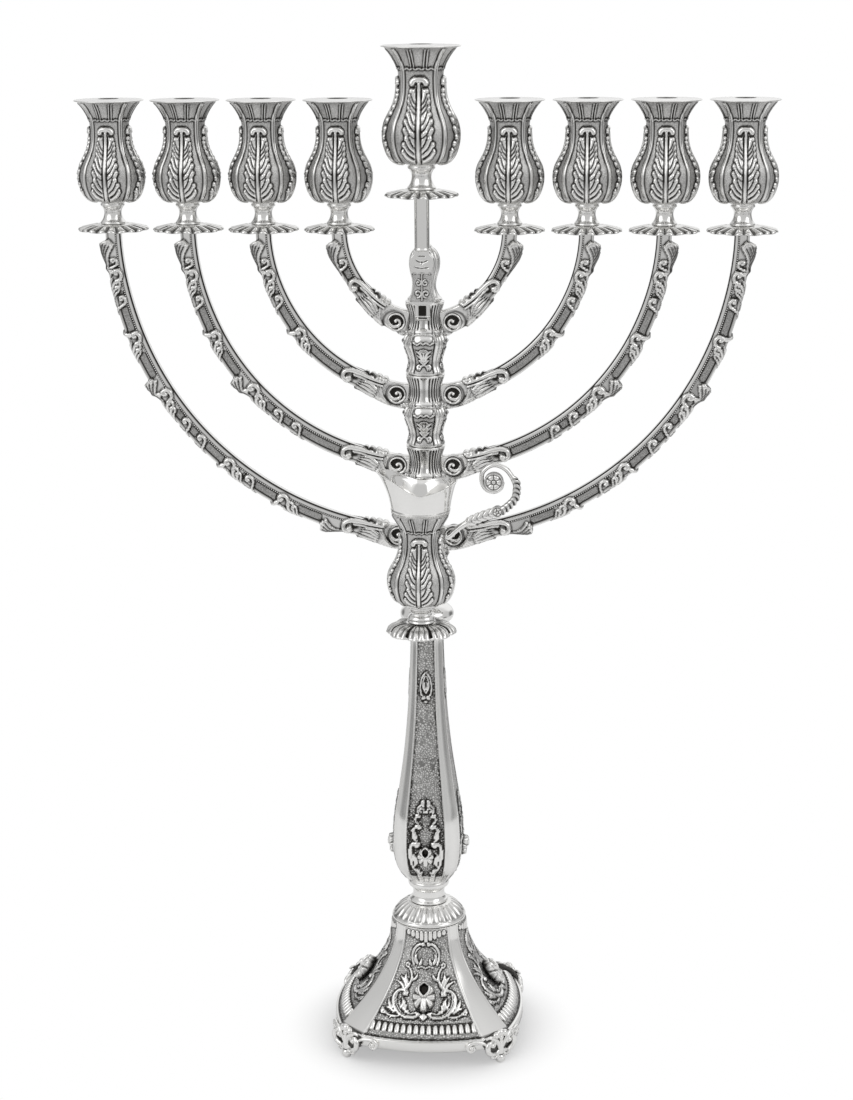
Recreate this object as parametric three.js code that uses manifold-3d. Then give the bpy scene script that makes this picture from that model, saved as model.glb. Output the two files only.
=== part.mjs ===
import * as THREE from "three";
import { mergeVertices } from "three/addons/utils/BufferGeometryUtils.js";
import Module from "manifold-3d";

// A nine-light hanukkah menorah in cast and stamped silver. Four pairs of curved arms spring from
// fluted collars on a turned column, each arm carries a petalled drip pan and a tulip-shaped cup,
// a lift-off serving light stands in front of the column top, and an oil jug hangs by a hook on
// the lowest collar. Millimetres, +Z up, origin on the floor under the stem axis, front towards -Y.

const wasm = await Module();
wasm.setup();

// Clearances shared by every seat and cut
const seatGap = 0.3;
const cutOverrun = 1;

// Arms: sideways reach and height of the cup row above the collars
const armPairs = 4;
const innerArmReach = 49;
const armSpacing = 44;
const collarSpacing = 42.5;
const innerArmRise = 53;
const armRootReach = 16.3;
const armDepth = 10.4;
const armWidth = 7.6;
const armLeafSpacing = 30;
const armLeafRise = 1.3;
const voluteWidth = 9.6;
const voluteEyeRadius = 2.4;
const voluteEyeRise = 0.7;
const spigotRadius = 2;
const spigotLength = 8.2;

// Drip pans
const panRadius = 20.9;
const panHubHeight = 2.4;
const panRimDrop = 0.9;
const panRimThickness = 0.9;
const panPetals = 8;
const panPetalShare = 0.92;
const panPetalDrop = 0.5;

// Cups
const cupNeckHeight = 12.8;
const cupNeckRadius = 8;
const cupBodyHeight = 57.6;
const cupBodyRadius = 18.8;
const cupRimDrop = 0.6;
const candleHoleRadius = 5.65;
const candleHoleDepth = 30;
const cupPegHoleDepth = 6.5;
const cupRibShare = 0.035;
const cupHollowShare = -0.01;

// Base skirt: bowed square plan with cut corners, flaring up to a round top
const footHeight = 10.4;
const rimSideReach = 58.6;
const rimCornerReach = 52;
const rimSideHalf = 37.5;
const rimHeight = 6.2;
const rimLedgeHeight = 0.8;
const rimLedgeWidth = 1.5;
const skirtFlareHeight = 57.3;
const skirtTopRadius = 22.8;
const skirtTopPanelAngle = 38 * Math.PI / 180;
const skirtFlarePower = 1.9;
const skirtWall = 1.5;

// Feet
const footPlateThickness = 3.8;
const footPlateHalf = 9.6;
const footPlateTop = 21;
const footPlateBottom = 4;
const footPadHalf = 6;
const footPadDepth = 7;
const footPadThickness = 3.4;
const toeRadius = 3;
const toeHeight = 5.4;
const wingVoluteRadius = 3.5;
const wingThickness = 2.4;
const wingLength = 7.5;

// Applied rosettes
const baseRosetteHalf = 7.2;
const baseRosetteHeight = 3.2;
const baseRosetteStretchShare = 1.16;
const vaseRosetteHalf = 5.4;
const vaseRosetteHeight = 2.6;
const vaseRosetteRise = 20.2;
const rosetteLeafCount = 5;

// Stem pieces between base and column
const domeHeight = 10.3;
const domeRadius = 22.5;
const domeTopRadius = 12.6;
const domeFlutes = 16;
const domeFluteShare = 0.04;
const neckHeight = 16.1;
const neckWaistRadius = 9.8;
const neckRingRadius = 12.6;
const vaseHeight = 160;
const vaseReach = 20.1;
const vasePanelShare = 0.62;
const knopHeight = 25.3;
const knopRadius = 16;
const knopNeckRadius = 9.2;

// Column: each module is a fluted collar over a ribbed bulb
const collarTopRise = 11.8;
const collarFlangeRadius = 11;
const collarWaistRadius = 8.85;
const bulbRadius = 13;
const moduleRibShare = 0.03;
const columnRibCount = 8;
const columnTopHeight = 34;
const columnTopRadius = 9.2;
const columnTopFootRadius = 10.2;

// Tie rod and nut that clamp the stem
const tieRodRadius = 3;
const tieRodTopShare = 0.5;
const nutRadius = 6.5;
const nutHeight = 6;
const rodTail = 3;

// Keepers: pockets on the front of a collar that take a hanging tongue
const tongueWidth = 4.8;
const tongueThickness = 1.8;
const tongueLength = 7.5;
const tongueReach = 14.6;
const keeperWall = 0.8;
const keeperWidth = 8.8;
const keeperHeight = 10;
const keeperBackReach = 8.9;
const keeperSlotDepth = 8.4;
const keeperWindowWidth = 4.2;
const keeperWindowHeight = 6;
const keeperWindowTop = 0.6;

// Serving light: bracket, rod, pan and cup ahead of the column
const serverReach = 15.5;
const serverSizeShare = 1.13;
const serverPanShare = 1.035;
const bracketHeight = 30.5;
const bracketHalf = 7.6;
const bracketThickness = 6.2;
const rodRadius = 4.35;
const rodLength = 31.5;
const rodPinLength = 6;

// Oil jug ahead of the lower column
const jugReach = 37.4;
const jugFootRadius = 20.8;
const jugFootHeight = 6;
const jugFootPetalShare = 0.9;
const jugNeckHeight = 11.2;
const jugPegLength = 3.4;
const jugNeckRadius = 8.6;
const jugBodyHeight = 55;
const jugBodyRadius = 19.4;
const jugWall = 1.3;
const jugCollarFootRadius = 17.1;
const jugLipRadius = 21.4;
const jugLipHeight = 13.2;
const jugSpoutReach = 4.4;
const jugSpoutRise = 9.4;
const jugBackRise = 4.8;
const jugHookHeight = 2.8;
const jugHookShare = 0.797;
const jugHandleThickness = 3.4;
const jugHandleRootRise = 39.9;
const jugScrollReach = 42.2;
const jugScrollRise = 32.9;
const jugBowRadius = 17;
const jugRosetteRadius = 4.8;
const jugRosetteWidth = 5.6;

// Heights of the stack, from the floor up
const rimTop = footHeight + rimHeight;
const flareBottom = rimTop + rimLedgeHeight;
const skirtTop = flareBottom + skirtFlareHeight;
const domeBottom = skirtTop + seatGap;
const neckBottom = domeBottom + domeHeight + seatGap;
const vaseBottom = neckBottom + neckHeight + seatGap;
const knopBottom = vaseBottom + vaseHeight + seatGap;
const lowestModuleBottom = knopBottom + knopHeight + seatGap;
const moduleHeight = collarSpacing - seatGap;
const lowestCollar = lowestModuleBottom + moduleHeight - collarTopRise;
const topCollar = lowestCollar + (armPairs - 1) * collarSpacing;
const columnTopBottom = topCollar + collarTopRise + seatGap;
const armTop = topCollar + innerArmRise;
const panBottom = armTop + seatGap;
const cupBottom = panBottom + panHubHeight + seatGap;
const pegHoleRadius = spigotRadius + seatGap;
const rodHoleRadius = tieRodRadius + seatGap;

// Helpers for closed solids

// Points [radius, height] turned about the stem axis, first column towards the front.
// ripple(angle, index) gives the share by which a point of the profile moves outwards.
function turned(profile, segments, ripple = () => 0, lift = () => 0) {
  const points = profile.map(([radius, height]) => new THREE.Vector2(radius, height));
  const geometry = new THREE.LatheGeometry(points, segments);
  geometry.rotateX(Math.PI / 2);
  const position = geometry.attributes.position;
  for (let column = 0; column <= segments; column += 1) {
    const angle = (column % segments) / segments * 2 * Math.PI;
    for (let index = 0; index < points.length; index += 1) {
      const vertex = column * points.length + index;
      const grow = 1 + ripple(angle, index);
      const height = position.getZ(vertex) + lift(angle, index);
      position.setXYZ(vertex, position.getX(vertex) * grow, position.getY(vertex) * grow, height);
    }
  }
  return geometry;
}

// Rings of points joined in order; a closed skin returns to its first ring, others get end caps.
function skinned(rings, closed) {
  const sides = rings[0].length;
  const positions = rings.flat().flatMap((point) => [point.x, point.y, point.z]);
  const faces = [];
  const bands = closed ? rings.length : rings.length - 1;
  for (let ring = 0; ring < bands; ring += 1) {
    const low = ring * sides;
    const high = ((ring + 1) % rings.length) * sides;
    for (let side = 0; side < sides; side += 1) {
      const next = (side + 1) % sides;
      faces.push(low + side, low + next, high + next, low + side, high + next, high + side);
    }
  }
  if (!closed) {
    for (const [ring, flip] of [[0, true], [rings.length - 1, false]]) {
      const middle = rings[ring].reduce((sum, point) => sum.add(point), new THREE.Vector3());
      middle.divideScalar(sides);
      positions.push(middle.x, middle.y, middle.z);
      const centre = positions.length / 3 - 1;
      for (let side = 0; side < sides; side += 1) {
        const a = ring * sides + side;
        const b = ring * sides + (side + 1) % sides;
        faces.push(centre, flip ? b : a, flip ? a : b);
      }
    }
  }
  const geometry = new THREE.BufferGeometry();
  geometry.setAttribute("position", new THREE.Float32BufferAttribute(positions, 3));
  geometry.setIndex(faces);
  return geometry;
}

// A flat outline in X and Z given a thickness along Y, centred on the X-Z plane.
function slab(shape, thickness) {
  const settings = { depth: thickness, bevelEnabled: false, curveSegments: 6 };
  const geometry = new THREE.ExtrudeGeometry(shape, settings);
  geometry.rotateX(Math.PI / 2);
  geometry.translate(0, thickness / 2, 0);
  return geometry;
}

function outline(points) {
  return new THREE.Shape(points.map(([x, y]) => new THREE.Vector2(x, y)));
}

// A many-sided round outline
function disc(radius, sides, x = 0, y = 0) {
  return outline(Array.from({ length: sides }, (_, side) => {
    const angle = side / sides * 2 * Math.PI;
    return [x + radius * Math.cos(angle), y + radius * Math.sin(angle)];
  }));
}

function block(width, depth, height, x, y, z) {
  const geometry = new THREE.BoxGeometry(width, depth, height);
  geometry.translate(x, y, z);
  return geometry;
}

function toSolid(geometry) {
  const bare = geometry.clone();
  bare.deleteAttribute("normal");
  bare.deleteAttribute("uv");
  const merged = mergeVertices(bare);
  const index = merged.index.array;
  const kept = [];
  for (let i = 0; i < index.length; i += 3) {
    const [a, b, c] = [index[i], index[i + 1], index[i + 2]];
    if (a !== b && b !== c && c !== a) kept.push(a, b, c);
  }
  const vertProperties = new Float32Array(merged.attributes.position.array);
  return new wasm.Manifold(new wasm.Mesh({ numProp: 3, vertProperties, triVerts: new Uint32Array(kept) }));
}

function fromSolid(solid) {
  const mesh = solid.getMesh();
  const geometry = new THREE.BufferGeometry();
  geometry.setAttribute("position", new THREE.BufferAttribute(mesh.vertProperties.slice(), 3));
  geometry.setIndex(new THREE.BufferAttribute(mesh.triVerts.slice(), 1));
  return geometry;
}

function joined(...geometries) {
  return fromSolid(geometries.map(toSolid).reduce((sum, solid) => sum.add(solid)));
}

function cut(geometry, ...tools) {
  return fromSolid(tools.map(toSolid).reduce((rest, tool) => rest.subtract(tool), toSolid(geometry)));
}

// Base skirt

// Plan of the skirt at one level: share 0 is the rim outline, share 1 the round top.
const sideStepShares = [-1, -0.6, -0.2, 0.2, 0.6, 1];
function skirtRing(share, height, inset) {
  const ring = [];
  const topRadius = skirtTopRadius - inset;
  for (let quarter = 0; quarter < 4; quarter += 1) {
    for (const step of sideStepShares) {
      const bow = (rimSideReach - rimCornerReach) * (1 - step * step);
      const rimX = step * (rimSideHalf - inset / 2);
      const rimY = -(rimCornerReach + bow - inset);
      const angle = step * skirtTopPanelAngle;
      const x = THREE.MathUtils.lerp(rimX, topRadius * Math.sin(angle), share);
      const y = THREE.MathUtils.lerp(rimY, -topRadius * Math.cos(angle), share);
      const point = new THREE.Vector3(x, y, height);
      ring.push(point.applyAxisAngle(new THREE.Vector3(0, 0, 1), quarter * Math.PI / 2));
    }
  }
  return ring;
}

// The flare: climb is the share of its height, the answer is the share of the way in to the top.
function flareShare(climb) {
  return 1 - (1 - climb) ** skirtFlarePower;
}

const flareClimbShares = [0, 0.2, 0.42, 0.68, 1];
const rosetteClimbShares = [0.2, 0.42];
function baseSkirt() {
  const rings = [skirtRing(0, footHeight, 0), skirtRing(0, rimTop, 0)];
  for (const climb of flareClimbShares) {
    const inset = rimLedgeWidth * (1 - climb);
    rings.push(skirtRing(flareShare(climb), flareBottom + climb * skirtFlareHeight, inset));
  }
  const holeRing = (height) => rings[0].map((point) => {
    const flat = new THREE.Vector3(point.x, point.y, 0).setLength(rodHoleRadius);
    return flat.setZ(height);
  });
  rings.push(holeRing(skirtTop), holeRing(skirtTop - skirtWall));
  const innerClimbShares = [1, 0.68, 0.42, 0.2, 0];
  for (const climb of innerClimbShares) {
    const inset = skirtWall + rimLedgeWidth * (1 - climb);
    const drop = climb === 1 ? skirtWall : skirtWall / 2;
    rings.push(skirtRing(flareShare(climb), flareBottom + climb * skirtFlareHeight - drop, inset));
  }
  rings.push(skirtRing(0, footHeight, skirtWall));
  return skinned(rings, true);
}

// Middle and slope of the flat facet that a base rosette sits on
function rosetteSeat() {
  const [low, high] = rosetteClimbShares.map((climb) => {
    const level = flareBottom + climb * skirtFlareHeight;
    const ring = skirtRing(flareShare(climb), level, rimLedgeWidth * (1 - climb));
    return ring[2];
  });
  const reach = -(low.y + high.y) / 2;
  const height = (low.z + high.z) / 2;
  const slope = Math.atan2(high.z - low.z, high.y - low.y);
  return { reach, height, slope };
}

// Feet, drawn with the corner diagonal along +X and then turned to their corners

const footOutlineShares = [
  [0, 0], [0.28, 0], [0.42, 0.3], [0.85, 0.45], [1, 0.72], [0.86, 0.93],
  [0.5, 0.82], [0.3, 1], [0, 0.94],
];
function foot() {
  const cornerReach = (rimSideHalf + rimCornerReach) * Math.SQRT1_2;
  const cornerHalf = (rimCornerReach - rimSideHalf) * Math.SQRT1_2;
  const plateBack = cornerReach + seatGap;
  const plateHeight = footPlateTop - footPlateBottom;
  const half = footOutlineShares.map(([v, z]) => [v * footPlateHalf, footPlateBottom + z * plateHeight]);
  const mirrored = half.slice(1, -1).reverse().map(([v, z]) => [-v, z]);
  const shape = outline([...half, ...mirrored]);
  for (const side of [-1, 1]) {
    const holeHeight = footPlateBottom + plateHeight * 0.6;
    const hole = disc(footPlateHalf * 0.2, 5, side * footPlateHalf * 0.5, holeHeight);
    shape.holes.push(hole);
  }
  const plate = slab(shape, footPlateThickness);
  plate.rotateZ(Math.PI / 2);
  plate.translate(plateBack + footPlateThickness / 2, 0, 0);

  const padTop = footHeight - seatGap;
  const padLength = footPadDepth + footPlateThickness / 2;
  const pad = block(padLength, 2 * footPadHalf, footPadThickness,
    plateBack - footPadDepth + padLength / 2, 0, padTop - footPadThickness / 2);

  const toeProfile = [[0, 0], [toeRadius * 0.62, 0], [toeRadius, toeHeight * 0.32],
    [toeRadius, toeHeight * 0.62], [toeRadius * 0.62, toeHeight * 0.95], [0, toeHeight]];
  const toe = turned(toeProfile, 8);
  toe.translate(plateBack + footPlateThickness * 0.6, 0, 0);

  const side = skirtRing(0, 0, 0);
  const along = new THREE.Vector2(side[4].x - side[5].x, side[4].y - side[5].y);
  const run = Math.atan2(along.y, along.x) + Math.PI / 4;
  const wings = [-1, 1].map((hand) => {
    const direction = new THREE.Vector2(Math.cos(run), hand * Math.sin(-run));
    const outward = new THREE.Vector2(Math.sin(-run), -hand * Math.cos(run));
    const bar = outline([
      [-wingThickness, rimTop - wingVoluteRadius * 1.6], [wingLength, rimTop - wingVoluteRadius * 1.4],
      [wingLength, rimTop - wingVoluteRadius * 0.6], [-wingThickness, rimTop + wingVoluteRadius * 0.2],
    ]);
    const scroll = disc(wingVoluteRadius, 8, wingLength, rimTop - wingVoluteRadius);
    const wing = joined(slab(bar, wingThickness), slab(scroll, wingThickness));
    wing.rotateZ(Math.atan2(direction.y, direction.x));
    const offset = seatGap + wingThickness / 2;
    wing.translate(cornerReach + outward.x * offset, hand * cornerHalf + outward.y * offset, 0);
    return wing;
  });
  return joined(plate, pad, toe, ...wings);
}

// A flat-backed leaf boss that stands up along +Z
function rosette(half, height) {
  const leaf = (angle, index) => (index === 1 || index === 2 ? -0.16 * Math.cos(rosetteLeafCount * angle) : 0);
  const profile = [[0, 0], [half * 0.86, 0], [half * 0.9, height * 0.3],
    [half * 0.42, height * 0.7], [0, height]];
  return turned(profile, 2 * rosetteLeafCount, leaf);
}

function baseRosette() {
  const { reach, height, slope } = rosetteSeat();
  const geometry = rosette(baseRosetteHalf, baseRosetteHeight);
  geometry.scale(1, baseRosetteStretchShare, 1);
  geometry.translate(0, 0, seatGap);
  geometry.rotateX(slope);
  geometry.translate(0, -reach, height);
  return geometry;
}

// Stem pieces

function flutedDome() {
  const flute = (angle, index) => (index === 3 ? domeFluteShare * Math.cos(domeFlutes * angle) : 0);
  const rise = domeHeight;
  const profile = [[rodHoleRadius, 0], [domeRadius, 0], [domeRadius, rise * 0.18],
    [domeRadius * 0.84, rise * 0.6], [domeTopRadius, rise], [rodHoleRadius, rise], [rodHoleRadius, 0]];
  return turned(profile, 2 * domeFlutes, flute);
}

function baseNeck() {
  const ring = neckRingRadius;
  const profile = [[rodHoleRadius, 0], [ring * 0.94, 0], [neckWaistRadius, neckHeight * 0.22],
    [neckWaistRadius, neckHeight * 0.56], [ring, neckHeight * 0.7], [ring, neckHeight * 0.9],
    [ring * 0.9, neckHeight], [rodHoleRadius, neckHeight], [rodHoleRadius, 0]];
  return turned(profile, 16);
}

// Reach of the vase panels as a share of its widest, against the share of its height
const vaseOutlineShares = [
  [0.66, 0], [0.69, 0.012], [0.86, 0.05], [0.955, 0.085], [1, 0.17], [0.96, 0.26], [0.83, 0.37],
  [0.66, 0.53], [0.54, 0.71], [0.475, 0.89], [0.465, 0.965], [0.5, 1],
];
const vaseRosetteFacet = 3;
function vaseRing(reach, height) {
  const narrow = reach * vasePanelShare;
  const ring = [];
  for (let quarter = 0; quarter < 4; quarter += 1) {
    for (const x of [-narrow, narrow]) {
      const point = new THREE.Vector3(x, -reach, height);
      ring.push(point.applyAxisAngle(new THREE.Vector3(0, 0, 1), quarter * Math.PI / 2));
    }
  }
  return ring;
}

function vaseStem() {
  const rings = vaseOutlineShares.map(
    ([reach, height]) => vaseRing(reach * vaseReach, height * vaseHeight),
  );
  const boreRadius = rodHoleRadius * Math.hypot(1, vasePanelShare);
  const boreRing = (height) => rings[0].map((point) => {
    return new THREE.Vector3(point.x, point.y, 0).setLength(boreRadius).setZ(height);
  });
  return skinned([...rings, boreRing(vaseHeight), boreRing(0)], true);
}

function vaseRosette() {
  const [low, high] = [vaseOutlineShares[vaseRosetteFacet], vaseOutlineShares[vaseRosetteFacet + 1]];
  const climb = (high[1] - low[1]) * vaseHeight;
  const slope = Math.atan2(climb, (low[0] - high[0]) * vaseReach);
  const share = (vaseRosetteRise - low[1] * vaseHeight) / climb;
  const reach = THREE.MathUtils.lerp(low[0], high[0], share) * vaseReach;
  const geometry = rosette(vaseRosetteHalf, vaseRosetteHeight);
  geometry.translate(0, 0, seatGap);
  geometry.rotateX(slope);
  geometry.translate(0, -reach, vaseRosetteRise);
  return geometry;
}

function stemKnop() {
  const neck = knopNeckRadius;
  const profile = [[rodHoleRadius, 0], [neck, 0], [neck, knopHeight * 0.08],
    [knopRadius * 0.94, knopHeight * 0.16], [knopRadius, knopHeight * 0.3],
    [knopRadius * 0.86, knopHeight * 0.46], [neck, knopHeight * 0.6], [neck * 0.92, knopHeight * 0.82],
    [neck * 1.15, knopHeight], [rodHoleRadius, knopHeight], [rodHoleRadius, 0]];
  return turned(profile, 16);
}

// Column

// Outline of a module: radius as a share of the piece named, height as a share of the module
function columnModule() {
  const flange = collarFlangeRadius;
  const waist = collarWaistRadius;
  const bulb = bulbRadius;
  const height = moduleHeight;
  const collarFoot = (height - collarTopRise) / height;
  const profile = [[rodHoleRadius, 0], [bulb * 0.84, 0], [bulb * 0.765, height * 0.08],
    [bulb * 0.84, height * 0.18], [bulb, height * 0.33], [bulb * 0.95, height * 0.43],
    [flange * 0.98, height * 0.5], [waist, height * (collarFoot - 0.04)],
    [waist, height * (collarFoot + 0.04)], [flange * 0.88, height * 0.9], [flange, height],
    [rodHoleRadius, height], [rodHoleRadius, 0]];
  const plainPoints = [0, 7, 8, profile.length - 2, profile.length - 1];
  const wave = (angle) => moduleRibShare * Math.cos(columnRibCount * angle);
  const rib = (angle, index) => (plainPoints.includes(index) ? 0 : wave(angle));
  return turned(profile, 16, rib);
}

// Room for a keeper let into the front of a collar; heights are within the module
function keeperRecess() {
  const deep = collarFlangeRadius + cutOverrun;
  const tall = keeperHeight + seatGap + cutOverrun;
  return block(keeperWidth + 2 * seatGap, deep, tall, 0, -(keeperBackReach - seatGap) - deep / 2,
    moduleHeight + cutOverrun - tall / 2);
}

function columnTop() {
  const foot = columnTopFootRadius;
  const widest = columnTopRadius;
  const height = columnTopHeight;
  const holeTop = height * tieRodTopShare;
  const profile = [[0, holeTop], [rodHoleRadius, holeTop], [rodHoleRadius, 0],
    [foot, 0], [foot * 0.8, height * 0.08], [foot * 0.65, height * 0.24], [widest * 0.84, height * 0.43],
    [widest, height * 0.64], [widest * 0.84, height * 0.82], [widest * 0.42, height * 0.93],
    [widest * 0.3, height], [0, height]];
  const lastRib = 9;
  const wave = (angle) => moduleRibShare * Math.cos(columnRibCount * angle);
  const rib = (angle, index) => (index > 3 && index < lastRib ? wave(angle) : 0);
  return turned(profile, 16, rib);
}

function hexNut() {
  const hex = disc(nutRadius, 6);
  hex.holes.push(disc(rodHoleRadius, 12));
  return new THREE.ExtrudeGeometry(hex, { depth: nutHeight, bevelEnabled: false });
}

// A pocket whose mouth opens upwards and whose front wall has a window; local height 0 is its top
function keeper() {
  const front = tongueReach + tongueThickness / 2 + seatGap + keeperWall;
  const side = outline([[-keeperBackReach, 0], [-front, 0], [-front, -keeperHeight * 0.72],
    [-keeperBackReach - keeperWall, -keeperHeight], [-keeperBackReach, -keeperHeight]]);
  const body = new THREE.ExtrudeGeometry(side, { depth: keeperWidth, bevelEnabled: false });
  body.applyMatrix4(new THREE.Matrix4().makeBasis(
    new THREE.Vector3(0, 1, 0), new THREE.Vector3(0, 0, 1), new THREE.Vector3(1, 0, 0)));
  body.translate(-keeperWidth / 2, 0, 0);
  const slot = block(tongueWidth + 2 * seatGap, tongueThickness + 2 * seatGap, keeperSlotDepth + cutOverrun,
    0, -tongueReach, cutOverrun - (keeperSlotDepth + cutOverrun) / 2);
  const windowDepth = keeperWall + seatGap + cutOverrun;
  const window = block(keeperWindowWidth, windowDepth, keeperWindowHeight,
    0, -front - cutOverrun + windowDepth / 2, -keeperWindowTop - keeperWindowHeight / 2);
  return cut(body, slot, window);
}

function tongue(bottomOf) {
  return block(tongueWidth, tongueThickness, tongueLength + cutOverrun,
    0, -tongueReach, bottomOf + (cutOverrun - tongueLength) / 2);
}

// Arms

// Section of an arm: a stout inner rail, a sunk web and a leafy outer rail, in shares of its
// depth (outwards from the curve's centre) and its width.
const armSectionShares = [
  [-0.5, -0.26], [-0.34, -0.5], [-0.1, -0.34], [0.5, -0.34],
  [0.5, 0.34], [-0.1, 0.34], [-0.34, 0.5], [-0.5, 0.26],
];
const leafyPoints = [3, 4];

// Outline of a scroll that winds in by one turn, as shares of its radius
function voluteShape(radius) {
  const points = [];
  const steps = 12;
  for (let step = 0; step <= steps; step += 1) {
    const turn = step / steps * 2 * Math.PI;
    const reach = radius * (1 - 0.24 * step / steps);
    points.push([reach * Math.cos(Math.PI + turn), reach * Math.sin(Math.PI + turn)]);
  }
  return outline(points);
}

function arm(pair) {
  const reach = innerArmReach + pair * armSpacing;
  const rise = innerArmRise + pair * collarSpacing;
  const start = Math.asin(armRootReach / reach);
  const length = (reach + rise) / 2 * (Math.PI / 2 - start);
  const steps = 2 * Math.ceil(length / armLeafSpacing);
  const rings = [];
  for (let step = 0; step <= steps; step += 1) {
    const turn = THREE.MathUtils.lerp(start, Math.PI / 2, step / steps);
    const centre = new THREE.Vector3(reach * Math.sin(turn), 0, armTop - rise * Math.cos(turn));
    const tangent = new THREE.Vector3(reach * Math.cos(turn), 0, rise * Math.sin(turn)).normalize();
    const normal = new THREE.Vector3(tangent.z, 0, -tangent.x);
    const leaf = step % 2 === 1 ? armLeafRise : 0;
    rings.push(armSectionShares.map(([out, across], index) => {
      const push = out * armDepth + (leafyPoints.includes(index) ? leaf : 0);
      return centre.clone().addScaledVector(normal, push).add(new THREE.Vector3(0, across * armWidth, 0));
    }));
  }
  const bar = skinned(rings, false);

  const collar = topCollar - pair * collarSpacing;
  const voluteRadius = armRootReach - collarWaistRadius - seatGap;
  const volute = slab(voluteShape(voluteRadius), voluteWidth);
  volute.translate(armRootReach, 0, collar);
  const eyeWidth = voluteWidth + 2 * voluteEyeRise;
  const eye = new THREE.CylinderGeometry(voluteEyeRadius, voluteEyeRadius, eyeWidth, 6);
  eye.translate(armRootReach, 0, collar);
  const spigot = new THREE.CylinderGeometry(spigotRadius, spigotRadius, spigotLength + cutOverrun, 6);
  spigot.rotateX(Math.PI / 2);
  spigot.translate(reach, 0, armTop + (spigotLength - cutOverrun) / 2);
  return joined(bar, volute, eye, spigot);
}

// Drip pans and cups, drawn with their underside at height 0

function pan(radius, boreRadius) {
  const petal = (angle, index) => {
    const valley = (1 - Math.cos(panPetals * angle)) / 2;
    return index === 1 || index === 2 ? -(1 - panPetalShare) * valley : 0;
  };
  const droop = (angle, index) => (index === 1 || index === 2
    ? -panPetalDrop * (1 - Math.cos(panPetals * angle)) / 2 : 0);
  const profile = [[boreRadius, 0], [radius, -panRimDrop], [radius, panRimThickness - panRimDrop],
    [boreRadius, panHubHeight], [boreRadius, 0]];
  return turned(profile, 2 * panPetals, petal, droop);
}

// Outline of the tulip body: share of its widest radius against share of its height
const tulipShares = [
  [0.82, 0.065], [0.98, 0.2], [0.85, 0.41], [0.665, 0.53], [0.6, 0.7], [0.66, 0.85], [1.02, 1],
];
const neckShares = [[0.92, 0], [0.72, 0.5], [1, 1]];
const cupRibCount = 8;

// How far the stem of a leaf stands out at each level of the tulip, as a share of the radius there.
// On the jug the leaves lie flatter round the belly, which has to pass the keeper when it is lifted.
const cupLeafShares = [0.05, 0.085, 0.09, 0.13, 0.18, 0.03, 0];
const jugLeafShares = [0.02, 0.03, 0.05, 0.11, 0.16, 0.03];

// Four leaves on the sides and four ribs on the corners stand proud of the hollows between them.
function tulipRipple(first, leafShares) {
  return (angle, index) => {
    if (index < first || index >= first + leafShares.length) return 0;
    const wave = Math.cos(cupRibCount * angle);
    if (wave < 0) return -cupHollowShare * wave;
    return Math.cos(cupRibCount * angle / 2) > 0 ? leafShares[index - first] : cupRibShare;
  };
}

function cup(sizeShare, holeRadius) {
  const neckHeight = cupNeckHeight * sizeShare;
  const bodyHeight = cupBodyHeight * sizeShare;
  const top = neckHeight + bodyHeight;
  const neck = neckShares.map(([r, z]) => [r * cupNeckRadius * sizeShare, z * neckHeight]);
  const body = tulipShares.map(([r, z]) => [r * cupBodyRadius * sizeShare, neckHeight + z * bodyHeight]);
  const profile = [[0, cupPegHoleDepth], [holeRadius, cupPegHoleDepth], [holeRadius, 0], ...neck, ...body,
    [candleHoleRadius, top + cupRimDrop], [candleHoleRadius, top - candleHoleDepth],
    [0, top - candleHoleDepth]];
  return turned(profile, 2 * cupRibCount, tulipRipple(3 + neck.length, cupLeafShares));
}

// Serving light

// Half of the bracket's front outline: share of its half width against share of its height
const bracketShares = [
  [0.55, 0], [1, 0.06], [0.82, 0.22], [0.76, 0.42], [0.86, 0.56], [0.98, 0.74], [0.84, 0.92], [0.6, 1],
];
function serverBracket(bottom) {
  const half = bracketShares.map(([x, z]) => [x * bracketHalf, bottom + z * bracketHeight]);
  const mirrored = half.slice().reverse().map(([x, z]) => [-x, z]);
  const plate = slab(outline([...half, ...mirrored]), bracketThickness);
  plate.translate(0, -serverReach, 0);
  const pinDepth = rodPinLength + seatGap;
  const pinHole = new THREE.CylinderGeometry(pegHoleRadius, pegHoleRadius, pinDepth + cutOverrun, 8);
  pinHole.rotateX(Math.PI / 2);
  pinHole.translate(0, -serverReach, bottom + bracketHeight + (cutOverrun - pinDepth) / 2);
  return cut(joined(plate, tongue(bottom)), pinHole);
}

// Local height 0 is the shoulder that stands on the bracket
function serverRod() {
  const pinTop = rodLength + seatGap + panHubHeight + seatGap + cupPegHoleDepth - seatGap;
  const profile = [[0, -rodPinLength], [spigotRadius, -rodPinLength], [spigotRadius, 0], [rodRadius, 0],
    [rodRadius, rodLength], [spigotRadius, rodLength], [spigotRadius, pinTop], [0, pinTop]];
  return turned(profile, 12);
}

// Oil jug, drawn about its own axis with height 0 under its foot

const jugNeckBottom = jugFootHeight + seatGap;
const jugBodyBottom = jugNeckBottom + jugNeckHeight;
const jugBodyTop = jugBodyBottom + jugBodyHeight;

function jugFoot() {
  const petal = (angle, index) => (index >= 1 && index <= 3
    ? -(1 - jugFootPetalShare) * (1 - Math.cos(panPetals * angle)) / 2 : 0);
  const radius = jugFootRadius;
  const height = jugFootHeight;
  const profile = [[0, height * 0.2], [radius * 0.93, 0],
    [radius, height * 0.14], [radius * 0.72, height * 0.62], [jugNeckRadius, height],
    [pegHoleRadius, height], [pegHoleRadius, height - jugPegLength], [0, height - jugPegLength]];
  return turned(profile, 2 * panPetals, petal);
}

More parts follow.
